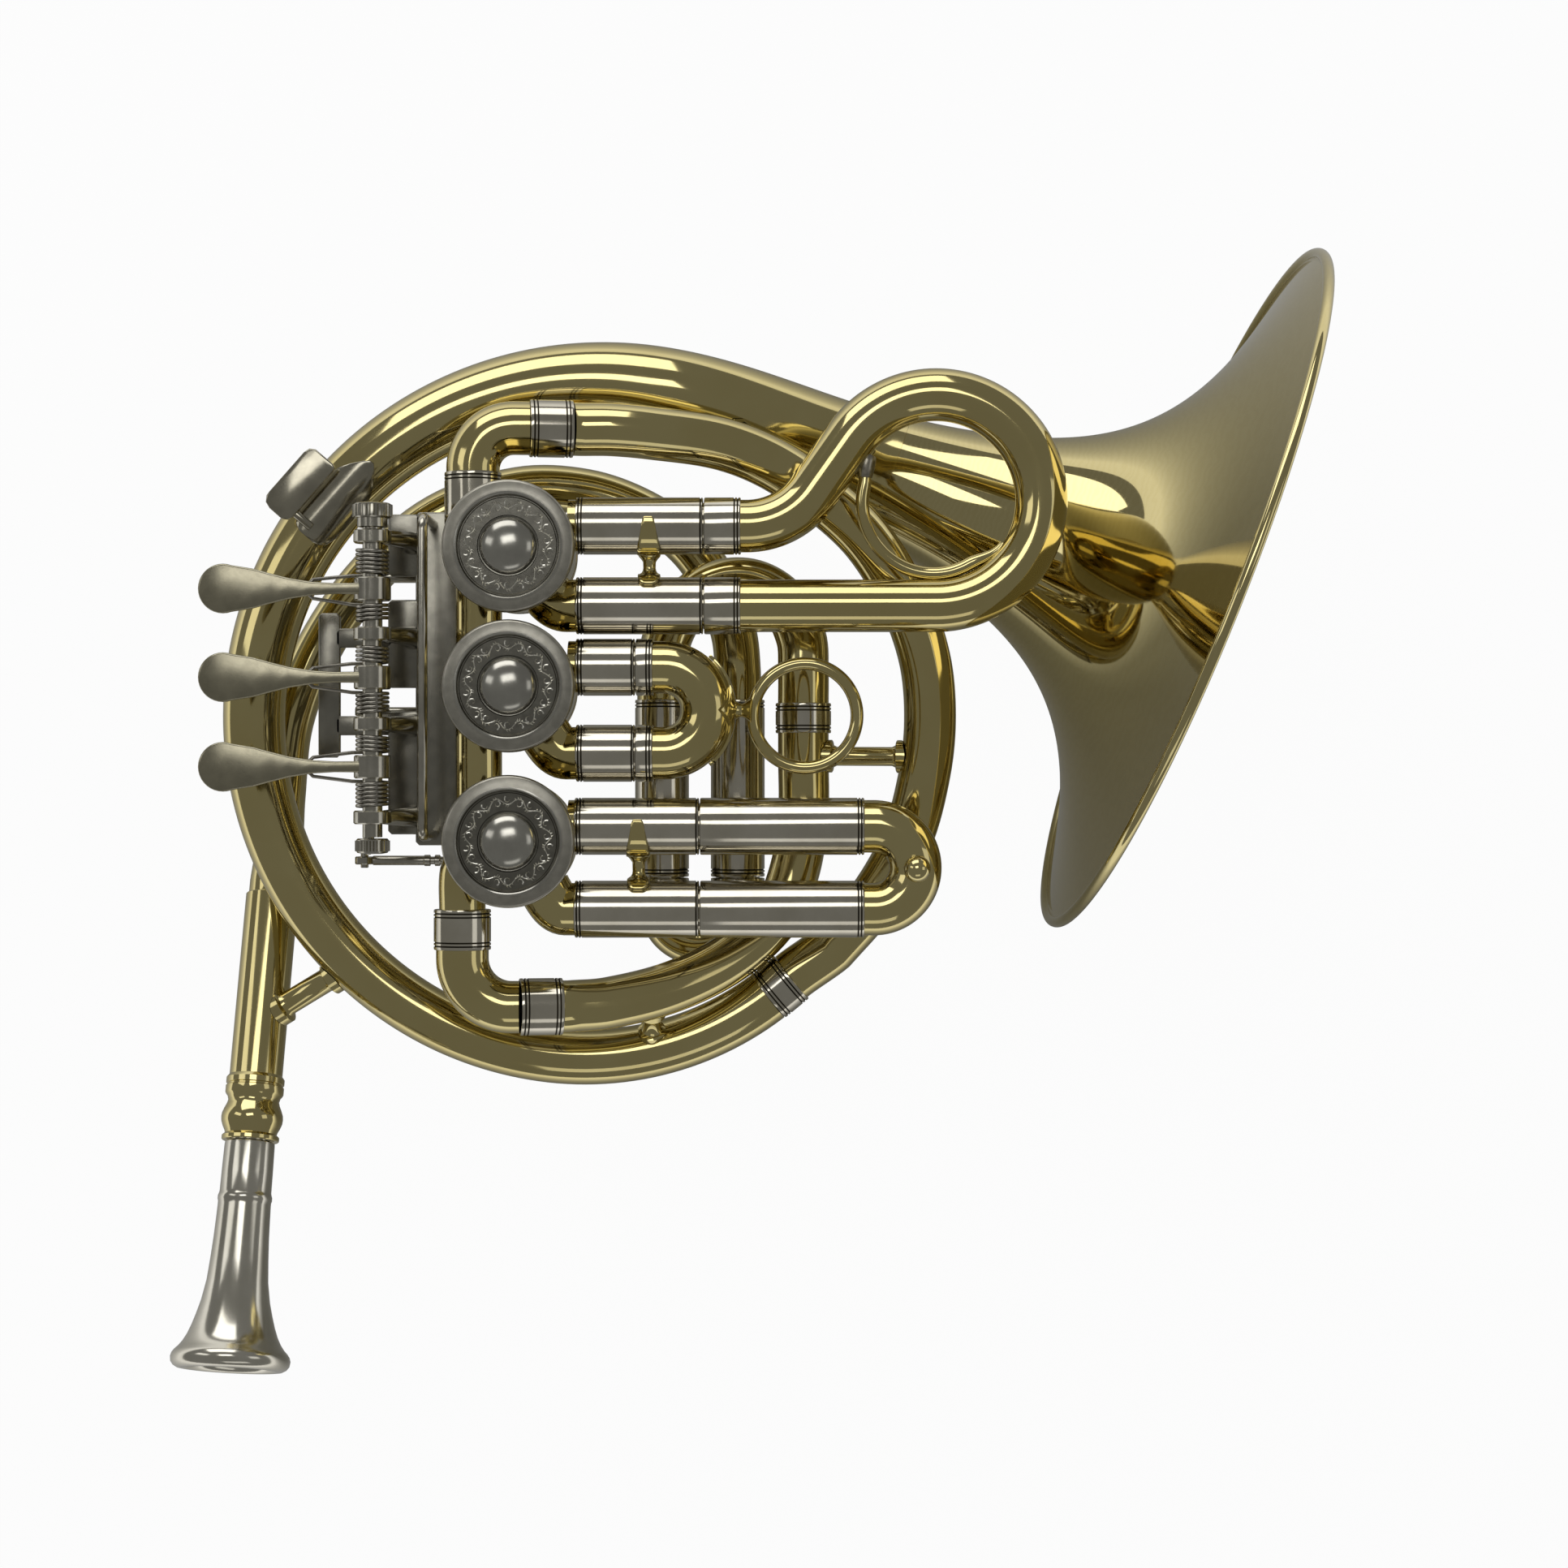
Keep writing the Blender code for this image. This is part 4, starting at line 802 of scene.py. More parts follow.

# %% [markdown]
# ## The engraved scroll
# A wave-shaped stem runs round the cap, with a curled tendril in each bend and small leaves
# along it. Only one wave is drawn, as fine ridges with a sharp crest.

# %% Leaf scroll
# the strokes are cut metal painted brighter than the nickel, partly a painted highlight for their glints
ENGRAVED_CUT_AND_GLINT = metal("engraved_line_and_glint", (0.86, 0.84, 0.76), (0.70, 0.68, 0.60), 0.22, 0.0, 500)
SPRAYS, STEM_STEPS = 11, 16
STEM_R, STEM_SWING = 8.85, 0.75
FIELD_R, RIDGE_R = 11.1, 11.9
STEP = math.tau / SPRAYS
LINE_HALF, LINE_RISE = 0.16, 0.10


def on_plate(r, turns):
    """A spot on the cap, with its angle counted in sprays."""
    return (r * math.cos(turns * STEP), r * math.sin(turns * STEP))


def scroll_strokes():
    """A wave-shaped stem, a curled tendril in each bend and small leaves along it."""
    def stem(u):
        return STEM_R + STEM_SWING * math.sin(math.tau * u)
    strokes = [[on_plate(stem(k / STEM_STEPS - 0.5), k / STEM_STEPS - 0.5) for k in range(STEM_STEPS + 1)]]
    for side, where in ((1, -0.25), (-1, 0.25)):
        heart = on_plate(STEM_R + side * 0.35, where)
        curl = []
        for k in range(13):
            a = where * STEP + side * (0.6 + 4.6 * k / 12)
            r = 0.85 - 0.6 * k / 12
            curl.append((heart[0] + r * math.cos(a), heart[1] + r * math.sin(a)))
        strokes.append(curl)
        for k in (-0.16, -0.05, 0.06, 0.17):
            root = stem(where + k)
            tip = root - side * (0.75 - 2 * abs(k))
            strokes.append([on_plate(root, where + k), on_plate((root + tip) / 2, where + k + 0.02),
                            on_plate(tip, where + k + 0.06)])
    return strokes


def leaf_spray():
    """The strokes of one spray, as fine ridges with a sharp crest that catches the light."""
    bm = bmesh.new()
    for stroke in scroll_strokes():
        last = len(stroke) - 1
        rows = []
        for n, (x, y) in enumerate(stroke):
            before, after = stroke[max(n - 1, 0)], stroke[min(n + 1, last)]
            way = Vector((after[0] - before[0], after[1] - before[1])).normalized()
            half = LINE_HALF * (0.75 if last == STEM_STEPS else 1 - 0.7 * n / last)
            rows.append([bm.verts.new(((x - way.y * half) * MM, (y + way.x * half) * MM, 0)),
                         bm.verts.new((x * MM, y * MM, LINE_RISE * MM)),
                         bm.verts.new(((x + way.y * half) * MM, (y - way.x * half) * MM, 0))])
        for a_row, b_row in zip(rows, rows[1:]):
            for k in range(3):
                bm.faces.new((a_row[k], a_row[(k + 1) % 3], b_row[(k + 1) % 3], b_row[k]))
        bm.faces.new(rows[0])
        bm.faces.new(rows[-1][::-1])
    return mesh_from(bm, "spray")


print("scroll:", SPRAYS, "sprays of", len(scroll_strokes()), "strokes on each cap")

# %% [markdown]
# ## Valve caps
# The turned cap takes its finishes by radius: a satin flange, a bright ridge and a field painted
# darker as painted shade. The dome is a second turned piece, and the scroll tree lays the engraving round
# it.

# %% Valve caps
DOME_R, DOME_RISE, FIELD_Z = 6.2, 2.9, 2.0
dome = [(DOME_R * math.cos(math.radians(t)), FIELD_Z + DOME_RISE * math.sin(math.radians(t)))
        for t in range(0, 90, 6)]
dome.append((0, 4.9))
plate_face = [(6.35, 1.75), (6.6, 1.75), (6.75, 2.0), (10.6, 2.0), (10.8, 1.85), (11.0, 1.85), (11.15, 2.1),
              (11.3, 2.7), (11.55, 2.9), (11.9, 2.8), (12.3, 2.72), (13.9, 2.6), (14.3, 2.4), (14.55, 2.0),
              (14.6, 1.6), (14.6, 0.5), (14.3, 0.2), (14.1, 0), (0, 0)]
disc = [(0, 0.0)] + plate_face[::-1][1:] + [(DOME_R, 1.7), (0, 1.7)]
for i, y in enumerate(VALVE_Y):
    base = (VALVE_X, y, CAP_Z)
    cap = painted(turned(disc, base, UP, 96), CAP_METAL)
    cap.materials.append(FIELD_METAL_PAINTED_DARK)
    cap.materials.append(DOME_METAL)
    hub = world(base)
    for face in cap.polygons:
        out = (face.center - hub).xy.length / MM
        # the field inside FIELD_R takes the darker metal: painted shade
        face.material_index = 1 if out < FIELD_R else (2 if out < RIDGE_R else 0)
    button = painted(turned([(0, 1.75), (6.15, 1.75)] + dome, base, UP, 96), DOME_METAL)
    spray = worker(leaf_spray(), Matrix.Translation(world((VALVE_X, y, CAP_Z + FIELD_Z))))
    cuts = painted(grown(spray, SCROLL, "Count", SPRAYS, ENGRAVED_CUT_AND_GLINT), ENGRAVED_CUT_AND_GLINT)
    settle(f"cap_{i + 1}", "horn", CAP_METAL, [f"valve_cap_{i + 1}"], cap, button, cuts)

print("three caps of radius", plate_face[-4][0], "mm with domes", DOME_RISE, "mm high")

# %% [markdown]
# ## Valve slides
# Each valve lengthens the horn by its own pair of tubes, which pull out for tuning. The
# first one is bent into a round loop, the second has a pull ring, and the third is long,
# with a small ball to grip.

# %% Fixed sleeves
for i, pair in enumerate(SLIDE_Y):
    for side, y in zip(("upper", "lower"), pair):
        sleeve(f"slide_outer_{i + 1}_{side}", f"slide_sleeve_{i + 1}_{side}", (SLEEVE_X[i], y, PORT_Z),
               (SLEEVE_END[i], y, PORT_Z), SLEEVE_R, SLEEVE_BORE, (0.7, 1.4, -0.5))

print("six fixed sleeves, radius", SLEEVE_R, "mm")

# %% [markdown]
# ## What the slides carry
# The first slide has a wire finger ring soldered into its loop, the second a pull ring on a
# pointed plate, and the third a small ball. Each is made here and joined to its slide below.


# %% Finger ring, pull ring and knob
BIG_R, BIG_X, BACK_R = 23.7, 34.1, 18.2
CROOK_X = (0.0, -27.0, 20.2)
RING_ARC, RING_STEPS, RING_EASE = (138.0, 330.0), 80, 30.0
SADDLE_HALF, SADDLE_LIP = 50.0, 0.8
HOOP_R, HOOP_WIRE = 11.7, 1.45


def finger_ring(centre):
    """A wire ring with eased, thin ends, and the solder where it meets the loop."""
    line, thick = [], []
    for k in range(RING_STEPS + 1):
        a = RING_ARC[0] + (RING_ARC[1] - RING_ARC[0]) * k / RING_STEPS
        near = min(1.0, min(a - RING_ARC[0], RING_ARC[1] - a) / RING_EASE)
        ease = near * near * (3 - 2 * near)
        line += arc(centre, 18.1 - 2.2 * ease, a, a, 1)[:1]
        thick.append(0.8 + 0.7 * ease)
    lump = [1.5, 1.9, 2.0, 2.0, 2.0, 1.9, 1.8, 1.6]
    return [swept(line, thick, 24), painted(swept(line[2:10], lump, 24), SOLDER)]


def bow_saddle(x, y, bend):
    """The plate under the pull ring: it wraps the bow and has a pointed tongue in the middle."""
    layers = []
    for r in (BOW_R + 0.03, BOW_R + 0.03 + SADDLE_LIP):
        grid = []
        for n in range(41):
            along = math.radians(SADDLE_HALF * (n / 20 - 1))
            edge = 8 + 42 * math.exp(-abs(math.degrees(along) / 11) ** 1.3) + 10 * math.cos(along * 3.2)
            row = []
            for k in range(9):
                up = math.radians(-edge + 2 * edge * k / 8)
                out, z = bend + r * math.cos(up), PORT_Z + r * math.sin(up)
                row.append(vec(x + out * math.cos(along), y + out * math.sin(along), z))
            grid.append(row)
        layers.append(grid)
    return sheet(*layers, SADDLE_LIP * 0.35)


def pull_ring(x, y, bend):
    """The hoop, its flared foot and the plate that it stands on."""
    edge = x + bend + BOW_R
    hoop = [(HOOP_R + HOOP_WIRE * math.cos(math.radians(t)), HOOP_WIRE * math.sin(math.radians(t)))
            for t in range(0, 360, 15)]
    foot = [(0, 0), (3.9, 0), (3.0, 0.7), (2.2, 1.4), (1.6, 2.3), (1.5, 2.9), (1.8, 3.6), (2.6, 4.3),
            (3.1, 4.8), (0, 4.8)]
    return [turned(hoop, (edge + 1.6 + 1.4 + HOOP_R + HOOP_WIRE, y - 1.2, PORT_Z), UP, 96, ring=True),
            turned(foot, (edge - 0.9, y, PORT_Z), (1, 0, 0), 40), bow_saddle(x, y, bend)]


def knob(x, y):
    """A ball on a short waisted foot."""
    ball = [(3.0 * math.cos(math.radians(t)), 3.6 + 3.0 * math.sin(math.radians(t)))
            for t in range(84, -61, -12)]
    grip = [(0, 6.6)] + ball + [(1.7, 0.9), (2.2, 0.3), (3.0, -0.4), (0, -0.6)]
    return [turned(grip, (x, y, PORT_Z + BOW_R), UP, 48)]


print("pull ring across, mm:", 2 * (HOOP_R + HOOP_WIRE))

# %% [markdown]
# ## Slides
# A slide is a bent tube between two ferrules, on two inner legs that stay hidden in the fixed
# sleeves until it is pulled. The path is drawn once and swept, and what it carries is added to
# the same piece because it moves with it.

# %% Slides
LEG_DEPTH = (25.6, 10.4, 25.0)
SLIDE_BORE, PLAY = 4.0, 0.3
for i, (upper, lower) in enumerate(SLIDE_Y):
    x1, x2 = SLEEVE_END[i] + PLAY, FERRULE_END[i]
    centre, half = (upper + lower) / 2, (upper - lower) / 2
    if i == 0:
        loop_y = lower + BIG_R
        crook = arc((BIG_X, loop_y), BIG_R, -90, 145, 90)
        crook += arc((FERRULE_END[0] + 1.3, upper + BACK_R), BACK_R, -35, -90, 24)
        extras = finger_ring((BIG_X - 0.6, loop_y - 0.6))
    else:
        crook = arc((CROOK_X[i], centre), half, -90, 90, 48)
        extras = pull_ring(CROOK_X[i], centre, half) if i == 1 else knob(CROOK_X[i] + half, centre)
    shapes = [swept(join([vec(x2, lower, PORT_Z)], crook, [vec(x2, upper, PORT_Z)]), BOW_R, 48)]
    for y in (upper, lower):
        shapes.append(lined_ring((x1, y, PORT_Z), (x2, y, PORT_Z), SLEEVE_R, SLIDE_BORE, (-0.7, -1.4)))
        shapes.append(painted(rod((x1 - LEG_DEPTH[i], y, PORT_Z), (x1 + 0.5, y, PORT_Z), LEG_R, 48), NICKEL))
    settle(f"slide_tubes_{i + 1}", f"slide_{i + 1}", BRASS, [f"valve_slide_{i + 1}"], *shapes, *extras)

bow_end = TUNE_END - 3.5
bow = join([vec(left_x, bow_end, TUNE_Z)],
           arc(((left_x + right_x) / 2, -28.5), (right_x - left_x) / 2, 180, 360, 48, TUNE_Z),
           [vec(right_x, bow_end, TUNE_Z)])
shapes = [swept(bow, TUNING_R, 48)]
for x in TUNE_X:
    shapes.append(lined_ring((x, bow_end, TUNE_Z), (x, TUNE_END - PLAY, TUNE_Z), SLEEVE_R, SLIDE_BORE,
                             (1.2, 1.9)))
    shapes.append(painted(rod((x, TUNE_END - 0.5, TUNE_Z), (x, TUNE_TOP - 4, TUNE_Z), LEG_R, 48), NICKEL))
settle("tuning_bow", "tuning", BRASS, ["tuning_slide"], *shapes)

print("slide crooks end at x =", [round(x, 1) for x in CROOK_X], "and the loop at", BIG_X)

# %% [markdown]
# ## Receiver and mouthpiece
# The mouthpiece pushes into a turned brass receiver with a ball and two rings. The silver
# mouthpiece flares like a small bell to its rim, with the cup inside.

# %% Receiver and mouthpiece
SEAT = 28.8
tube_end = [(4.7, -30), (5.9, -30), (6.1, -29.8), (6.1, 13.2)]
two_rings = [(6.5, 13.7), (6.7, 14.0), (6.7, 15.2), (6.45, 15.4), (6.45, 15.7), (6.7, 15.9), (6.7, 17.4),
             (6.5, 17.8)]
ball = [(6.1, 18.3), (5.85, 19.2), (6.1, 20.1), (6.6, 21.2), (7.0, 22.3), (7.1, 23.2), (7.0, 24.2),
        (6.6, 25.3), (6.1, 26.3)]
mouth = [(5.95, 26.9), (6.3, 27.2), (6.6, 27.5), (6.6, 28.3), (6.4, 28.5), (4.7, 28.5)]
bore = [(4.7, 13.5), (3.4, 13.5), (3.4, -24.5), (4.7, -24.5)]
settle("mouthpiece_receiver", "horn", BRASS, ["receiver"],
       turned(tube_end + two_rings + ball + mouth + bore, hold, toward, 72, ring=True))

shank = [(2.6, -12), (4.0, -12), (4.1, -11.8), (4.4, 0), (5.5, 0), (5.7, 0.2), (5.75, 0.8), (5.85, 7.0),
         (5.9, 11.6)]
band = [(6.05, 12.2), (6.2, 12.6), (6.2, 13.4), (6.05, 13.8), (6.05, 14.6)]
flare = [(6.15, 18), (6.3, 22), (6.6, 27), (7.0, 32), (7.8, 36.5), (8.6, 39.5), (9.4, 42.1), (10.2, 44.2),
         (11.1, 45.9), (12.0, 47.1), (12.8, 47.9)]
rim = [(13.3, 48.6), (13.55, 49.5), (13.4, 50.6), (12.8, 51.4), (11.9, 51.9), (11.1, 52.0), (10.3, 51.7),
       (9.7, 51.1), (9.3, 50.2)]
cup = [(8.9, 49.0), (8.4, 46), (7.7, 42.5), (6.4, 38.5), (4.6, 34.5), (3.1, 31.5), (2.2, 29.5), (1.9, 26)]
settle("silver_mouthpiece", "mouthpiece", SILVER, ["mouthpiece"],
       turned(shank + band + flare + rim + cup, hold + toward * SEAT, toward, 96, ring=True))

print("mouthpiece points along", [round(c, 2) for c in toward])

# %% [markdown]
# ## Braces
# Short posts hold the tubes apart. Each is turned like a small baluster and stands on
# curved feet, which are cut to the tubes they are soldered to.


# %% Braces
SINK, FOOT = 2.0, 1.0
LEAD_ANGLE, BOTTOM_ANGLE = 225.8, 280.4


def brace(name, node, a, a_axis, a_radius, b, b_axis, b_radius, radius, flange):
    """A turned post between two tubes, each given by a point, its way and its radius."""
    a, b = Vector(a), Vector(b)
    way = (b - a).normalized()
    total = (b - a).length
    lo, hi = a_radius - SINK, total - b_radius + SINK
    face_lo, face_hi = a_radius + FOOT, total - b_radius - FOOT
    profile = [(0, lo), (flange, lo), (flange, face_lo - 0.2), (flange - 0.3, face_lo),
               (radius + 0.4, face_lo + 0.2)]
    if face_hi - face_lo > 4:
        profile += [(radius, face_lo + 1.0), (radius, face_hi - 1.0)]
    profile += [(radius + 0.4, face_hi - 0.2), (flange - 0.3, face_hi), (flange, face_hi + 0.2),
                (flange, hi), (0, hi)]
    post = turned(profile, a, way, 40)
    tools = []
    for centre, axis, size in ((a, a_axis, a_radius), (b, b_axis, b_radius)):
        reach = Vector(axis).normalized() * 12
        tools.append(rod(centre - reach, centre + reach, size + 0.1, 72, 0.01))
    settle(name, "horn", BRASS, [node], carved(post, *tools))


place, way, size = loop_point(LEAD_ANGLE)
brace("lead_post", "lead_pipe_brace", hold, toward, 6.1, place, way, size, 2.8, 4.2)
place, way, size = loop_point(BOTTOM_ANGLE)
brace("bottom_post", "bottom_brace", (-30, -47.9, 14.1), (13.5, 2.7, -6), BOW_R, place, way, size, 2.0, 3.2)
brace("side_post", "side_brace", (side_x, 6.5, 0), ALONG, BOW_R, (32.95, 6.3, 4.2), (1, 13, 1), BRANCH_R,
      2.2, 3.8)

print("lead post, mm between centres:", round((loop_point(LEAD_ANGLE)[0] - hold).length, 1))

# %% [markdown]
# ## Leaf-footed posts
# Between the two tubes of a slide stands a small post whose feet are leaves, soldered to the
# sleeves. A leaf is a grid of points bent round the tube and given a thickness, because a flat
# leaf would stand off the round metal at its edges.

# %% Leaf-footed posts of the valve slides
UPPER_LEAF = [(-1.5, 0.9), (-1.0, 1.3), (0.6, 1.6), (2.2, 1.9), (3.6, 2.2), (5.0, 2.45), (6.4, 2.65),
              (7.8, 2.7)]
LOWER_LEAF = [(4.6, 0.9), (4.9, 1.6), (5.5, 2.1), (6.3, 2.4), (7.2, 2.5), (8.2, 2.5)]
LEAF_THICK = 0.95


def leaf(centre, outward, radius, rows):
    """A leaf draped over a tube that runs along X; each row is (arc from the top, half width)."""
    layers = []
    for r in (radius, radius + LEAF_THICK):
        grid = []
        for reach, half in rows:
            a = reach / radius
            y, z = centre[1] + outward * r * math.sin(a), centre[2] + r * math.cos(a)
            grid.append([vec(centre[0] + half * k / 3, y, z) for k in range(-3, 4)])
        layers.append(grid)
    return sheet(*layers, LEAF_THICK * 0.4)


POSTS = ((0, -30.2), (2, -32.6))
for i, x in POSTS:
    upper, lower = SLIDE_Y[i]
    gap_low = lower + SLEEVE_R + 0.1
    length = upper - SLEEVE_R - 0.1 - gap_low
    post = [(0, 0), (2.5, 0), (2.4, 0.5), (1.8, 0.9), (1.5, 1.4), (1.4, 2.0), (1.45, length - 1.6),
            (1.9, length - 0.9), (2.4, length - 0.4), (2.5, length), (0, length)]
    settle(f"slide_post_{i + 1}", "horn", BRASS, [f"brace_slide_{i + 1}"],
           turned(post, (x, gap_low, PORT_Z), ALONG, 40),
           leaf((x, upper, PORT_Z), -1, SLEEVE_R + 0.04, UPPER_LEAF),
           leaf((x, lower, PORT_Z), 1, SLEEVE_R + 0.04, LOWER_LEAF))
print("slide posts stand at x =", [x for i, x in POSTS])

# %% [markdown]
# ## Finger hook
# The little finger rests under a flat tongue that stands on a foot on the big loop. The foot
# is draped like the leaves, and the tongue is a plate with soft edges, turned to the loop's
# own directions. A round rib crosses between them.

# %% Finger hook
HOOK_ANGLE, HOOK_HALF, HOOK_LEAN = 138.6, 11.5, 0.17
ACROSS, FOOT_THICK = 8, 1.0


def draped(centre, axis, outward, radius, rows, thick):
    """A sheet on a round tube; each row is (distance along it, first and last arc from the outward side)."""
    axis, outward = Vector(axis).normalized(), Vector(outward).normalized()
    sideways = axis.cross(outward)
    layers = []
    for r in (radius, radius + thick):
        grid = []
        for along, first, last in rows:
            turns = [(first + (last - first) * k / ACROSS) / radius for k in range(ACROSS + 1)]
            at = Vector(centre) + axis * along
            grid.append([at + outward * r * math.cos(a) + sideways * r * math.sin(a) for a in turns])
        layers.append(grid)
    return sheet(*layers, thick * 0.35)


hook_at, hook_way, hook_size = loop_point(HOOK_ANGLE)
hook_out = (hook_at - vec(LOOP[0], LOOP[1], 0)).normalized()
hook_bend = HOOK_HALF ** 2 / LOOP_R / 2
hook_r = hook_size + 0.35 + hook_bend / 2
hook_lean = (vec(*UP) - hook_out * HOOK_LEAN).normalized()
foot_rows = [(-11.4, -0.5, 0.5), (-10.4, -1.5, 1.5), (-8, -3.2, 3.2), (-5.6, -4.6, 4.6), (-4, -5.1, 5.1),
             (0, -5.3, 5.3), (4, -5.3, 5.3), (7.5, -5.1, 5.1), (9.6, -4.4, 4.4), (10.8, -3.3, 3.3),
             (11.4, -1.8, 1.8)]
saddle = draped(hook_at - hook_out * hook_bend / 2, hook_way, hook_lean, hook_r, foot_rows, FOOT_THICK)
tongue_line = [(-5.2, 4.2), (-4.9, 3.3), (-4, 3), (9.8, 3), (11.2, 3.5), (12, 4.7), (12, 8.4), (11.5, 10),
               (10.2, 10.9), (9, 11), (-2.8, 11), (-4.3, 10.6), (-5.1, 9.4)]
flat = Matrix((hook_way, hook_out, vec(*UP))).transposed().to_4x4()
root = hook_at + vec(0, 0, hook_size + 2.0)
tongue = slab(tongue_line, 0.05, 1.15, root, flat, 0.35)
bend_at = root + hook_way * 9
fold = rod(bend_at - hook_out * 1.5 - vec(0, 0, 0.5), bend_at + hook_out * 5.6, 1.0, 24)
settle("hook", "horn", HOOK_METAL, ["finger_hook"], saddle, tongue, fold)
print("finger hook stands on the loop at", [round(c, 1) for c in hook_at])

# %% [markdown]
# ## Keys, springs and linkage
# Three levers turn on one hinge rod. Each has a flat teardrop touch, a coil spring either
# side of its hub, and an arm below that pushes a rod to the valve's crank.

# %% Levers and push rods
HINGE_X, HINGE_Z, HINGE_R = -91.3, 32.0, 2.2
POST_Y = (54.9, 33.3, 13.3, -7.4)
KEY_Y = (43.2, 23.6, 3.8)
PIN_X, PIN_Z, PIN_R = -96.3, 8.52, 0.9
TIP_X, TIP_R, TOUCH_Z = -124.0, 5.5, (34.0, 35.2)
CRANK_R, CRANK_TURN, CRANK_Z = 7.0, math.radians(45), (7.8, 9.25)
HALF_WIDTH = [(2.0, 1.3), (-8, 1.2), (-13, 1.5), (-18, 2.3), (-22, 3.3), (-26, 4.4)]
HUB = [(2.5, -2.6), (3.8, -2.6), (4.1, -2.3), (4.1, 2.3), (3.8, 2.6), (2.5, 2.6)]
EYE = [(1.2, -0.9), (2.0, -0.9), (2.2, -0.7), (2.2, 0.7), (2.0, 0.9), (1.2, 0.9)]
crank_x = VALVE_X - CRANK_R * math.cos(CRANK_TURN)


def touch(y):
    """The flat teardrop that a finger presses."""
    outline = [(HINGE_X + x, y - w) for x, w in HALF_WIDTH]
    outline += [(TIP_X - TIP_R * math.sin(math.radians(t)), y - TIP_R * math.cos(math.radians(t)))
                for t in range(-20, 201, 10)]
    outline += [(HINGE_X + x, y + w) for x, w in HALF_WIDTH[::-1]]
    return slab(outline, *TOUCH_Z, edge=0.45)


def lever_arm(y, arm_y):
    """The bent wire from a hub down to its pin, with a step to the side where the valve asks for one."""
    knee = HINGE_X - 2.5
    line = [vec(HINGE_X - 0.9, y, HINGE_Z - 3.4), vec(knee + 0.6, y, HINGE_Z - 9),
            vec(knee, y, HINGE_Z - 11.7)]
    if abs(arm_y - y) > 2.6:
        lean = 1 if arm_y > y else -1
        line[-1] = vec(knee + 0.1, y, HINGE_Z - 10.6)
        line += [vec(knee, y + lean * 1.2, HINGE_Z - 11.8), vec(knee, arm_y - lean * 1.2, HINGE_Z - 11.8)]
    line += [vec(knee - 0.3, arm_y, HINGE_Z - 13.2), vec(PIN_X + 0.2, arm_y, PIN_Z + 1),
             vec(PIN_X, arm_y, PIN_Z - 1.6)]
    return swept(line, 1.3, 20)


def lever(i, y, link_y):
    """A touch on its hub, with the arm and the pin that carry the push rod."""
    side = -1 if link_y > y else 1
    arm_y = link_y + side * 2.7
    hub = turned(HUB, (HINGE_X, y, HINGE_Z), ALONG, 48, ring=True)
    pin = rod((PIN_X, arm_y, PIN_Z), (PIN_X, link_y - side * 1.7, PIN_Z), PIN_R, 24)
    below = [painted(part, HINGE_METAL) for part in (hub, lever_arm(y, arm_y), pin)]
    settle(f"lever_{i + 1}", f"key_{i + 1}", SATIN, [f"key_{i + 1}"], touch(y), *below)


def push_rod(i, link_y):
    """The rod from a lever's pin to the valve's crank: an eye, a bar with two beads and a disc."""
    start = PIN_X + 1.9
    run = crank_x - 1 - start
    waist = run * 0.42
    beads = [(1.3, waist + 0.2), (1.3, waist + 1.4), (0.9, waist + 1.6), (0.9, waist + 2.4),
             (1.3, waist + 2.6), (1.3, waist + 3.6), (0.9, waist + 3.9)]
    bar = [(0, 0), (1.0, 0), (1.1, 0.2), (1.1, waist)] + beads + [(0.9, run), (0, run)]
    settle(f"push_rod_{i + 1}", f"link_{i + 1}", HINGE_METAL, [f"key_link_{i + 1}"],
           turned(EYE, (PIN_X, link_y, PIN_Z), ALONG, 32, ring=True),
           turned(bar, (start, link_y, PIN_Z), (1, 0, 0), 24),
           rod((crank_x, link_y, CRANK_Z[0]), (crank_x, link_y, CRANK_Z[1]), 2.2, 32))


for i, y in enumerate(KEY_Y):
    link_y = VALVE_Y[i] - CRANK_R * math.sin(CRANK_TURN)
    lever(i, y, link_y)
    push_rod(i, link_y)

print("levers at y =", KEY_Y, "turn on x =", HINGE_X)

# %% [markdown]
# ## Return springs
# Each lever has one wire: a coil on both sides of the hub and a bail that reaches out under
# the lever. A coil is a circle whose height grows with the angle, so the line is computed and swept.

# %% Springs
SPRING_R, WIRE, PITCH, PER_TURN = 3.4, 0.41, 0.93, 20
HUB_SIDE, POST_SIDE = 3.3, 2.0
BAIL_X, BAIL_Z, LEG_X, LEG_Z = HINGE_X - 13, 33.0, HINGE_X - 5, HINGE_Z - SPRING_R + 0.2


def coil(inner, outer):
    """The turns from the hub's side to the post's side."""
    turns = int(abs(outer - inner) / PITCH)
    sign = 1 if outer > inner else -1
    out = []
    for step in range(turns * PER_TURN + 1):
        t = step / PER_TURN
        a = -math.pi / 2 + math.tau * t
        x, z = HINGE_X + SPRING_R * math.cos(a), HINGE_Z + SPRING_R * math.sin(a)
        out.append(vec(x, inner + sign * PITCH * t, z))
    return out


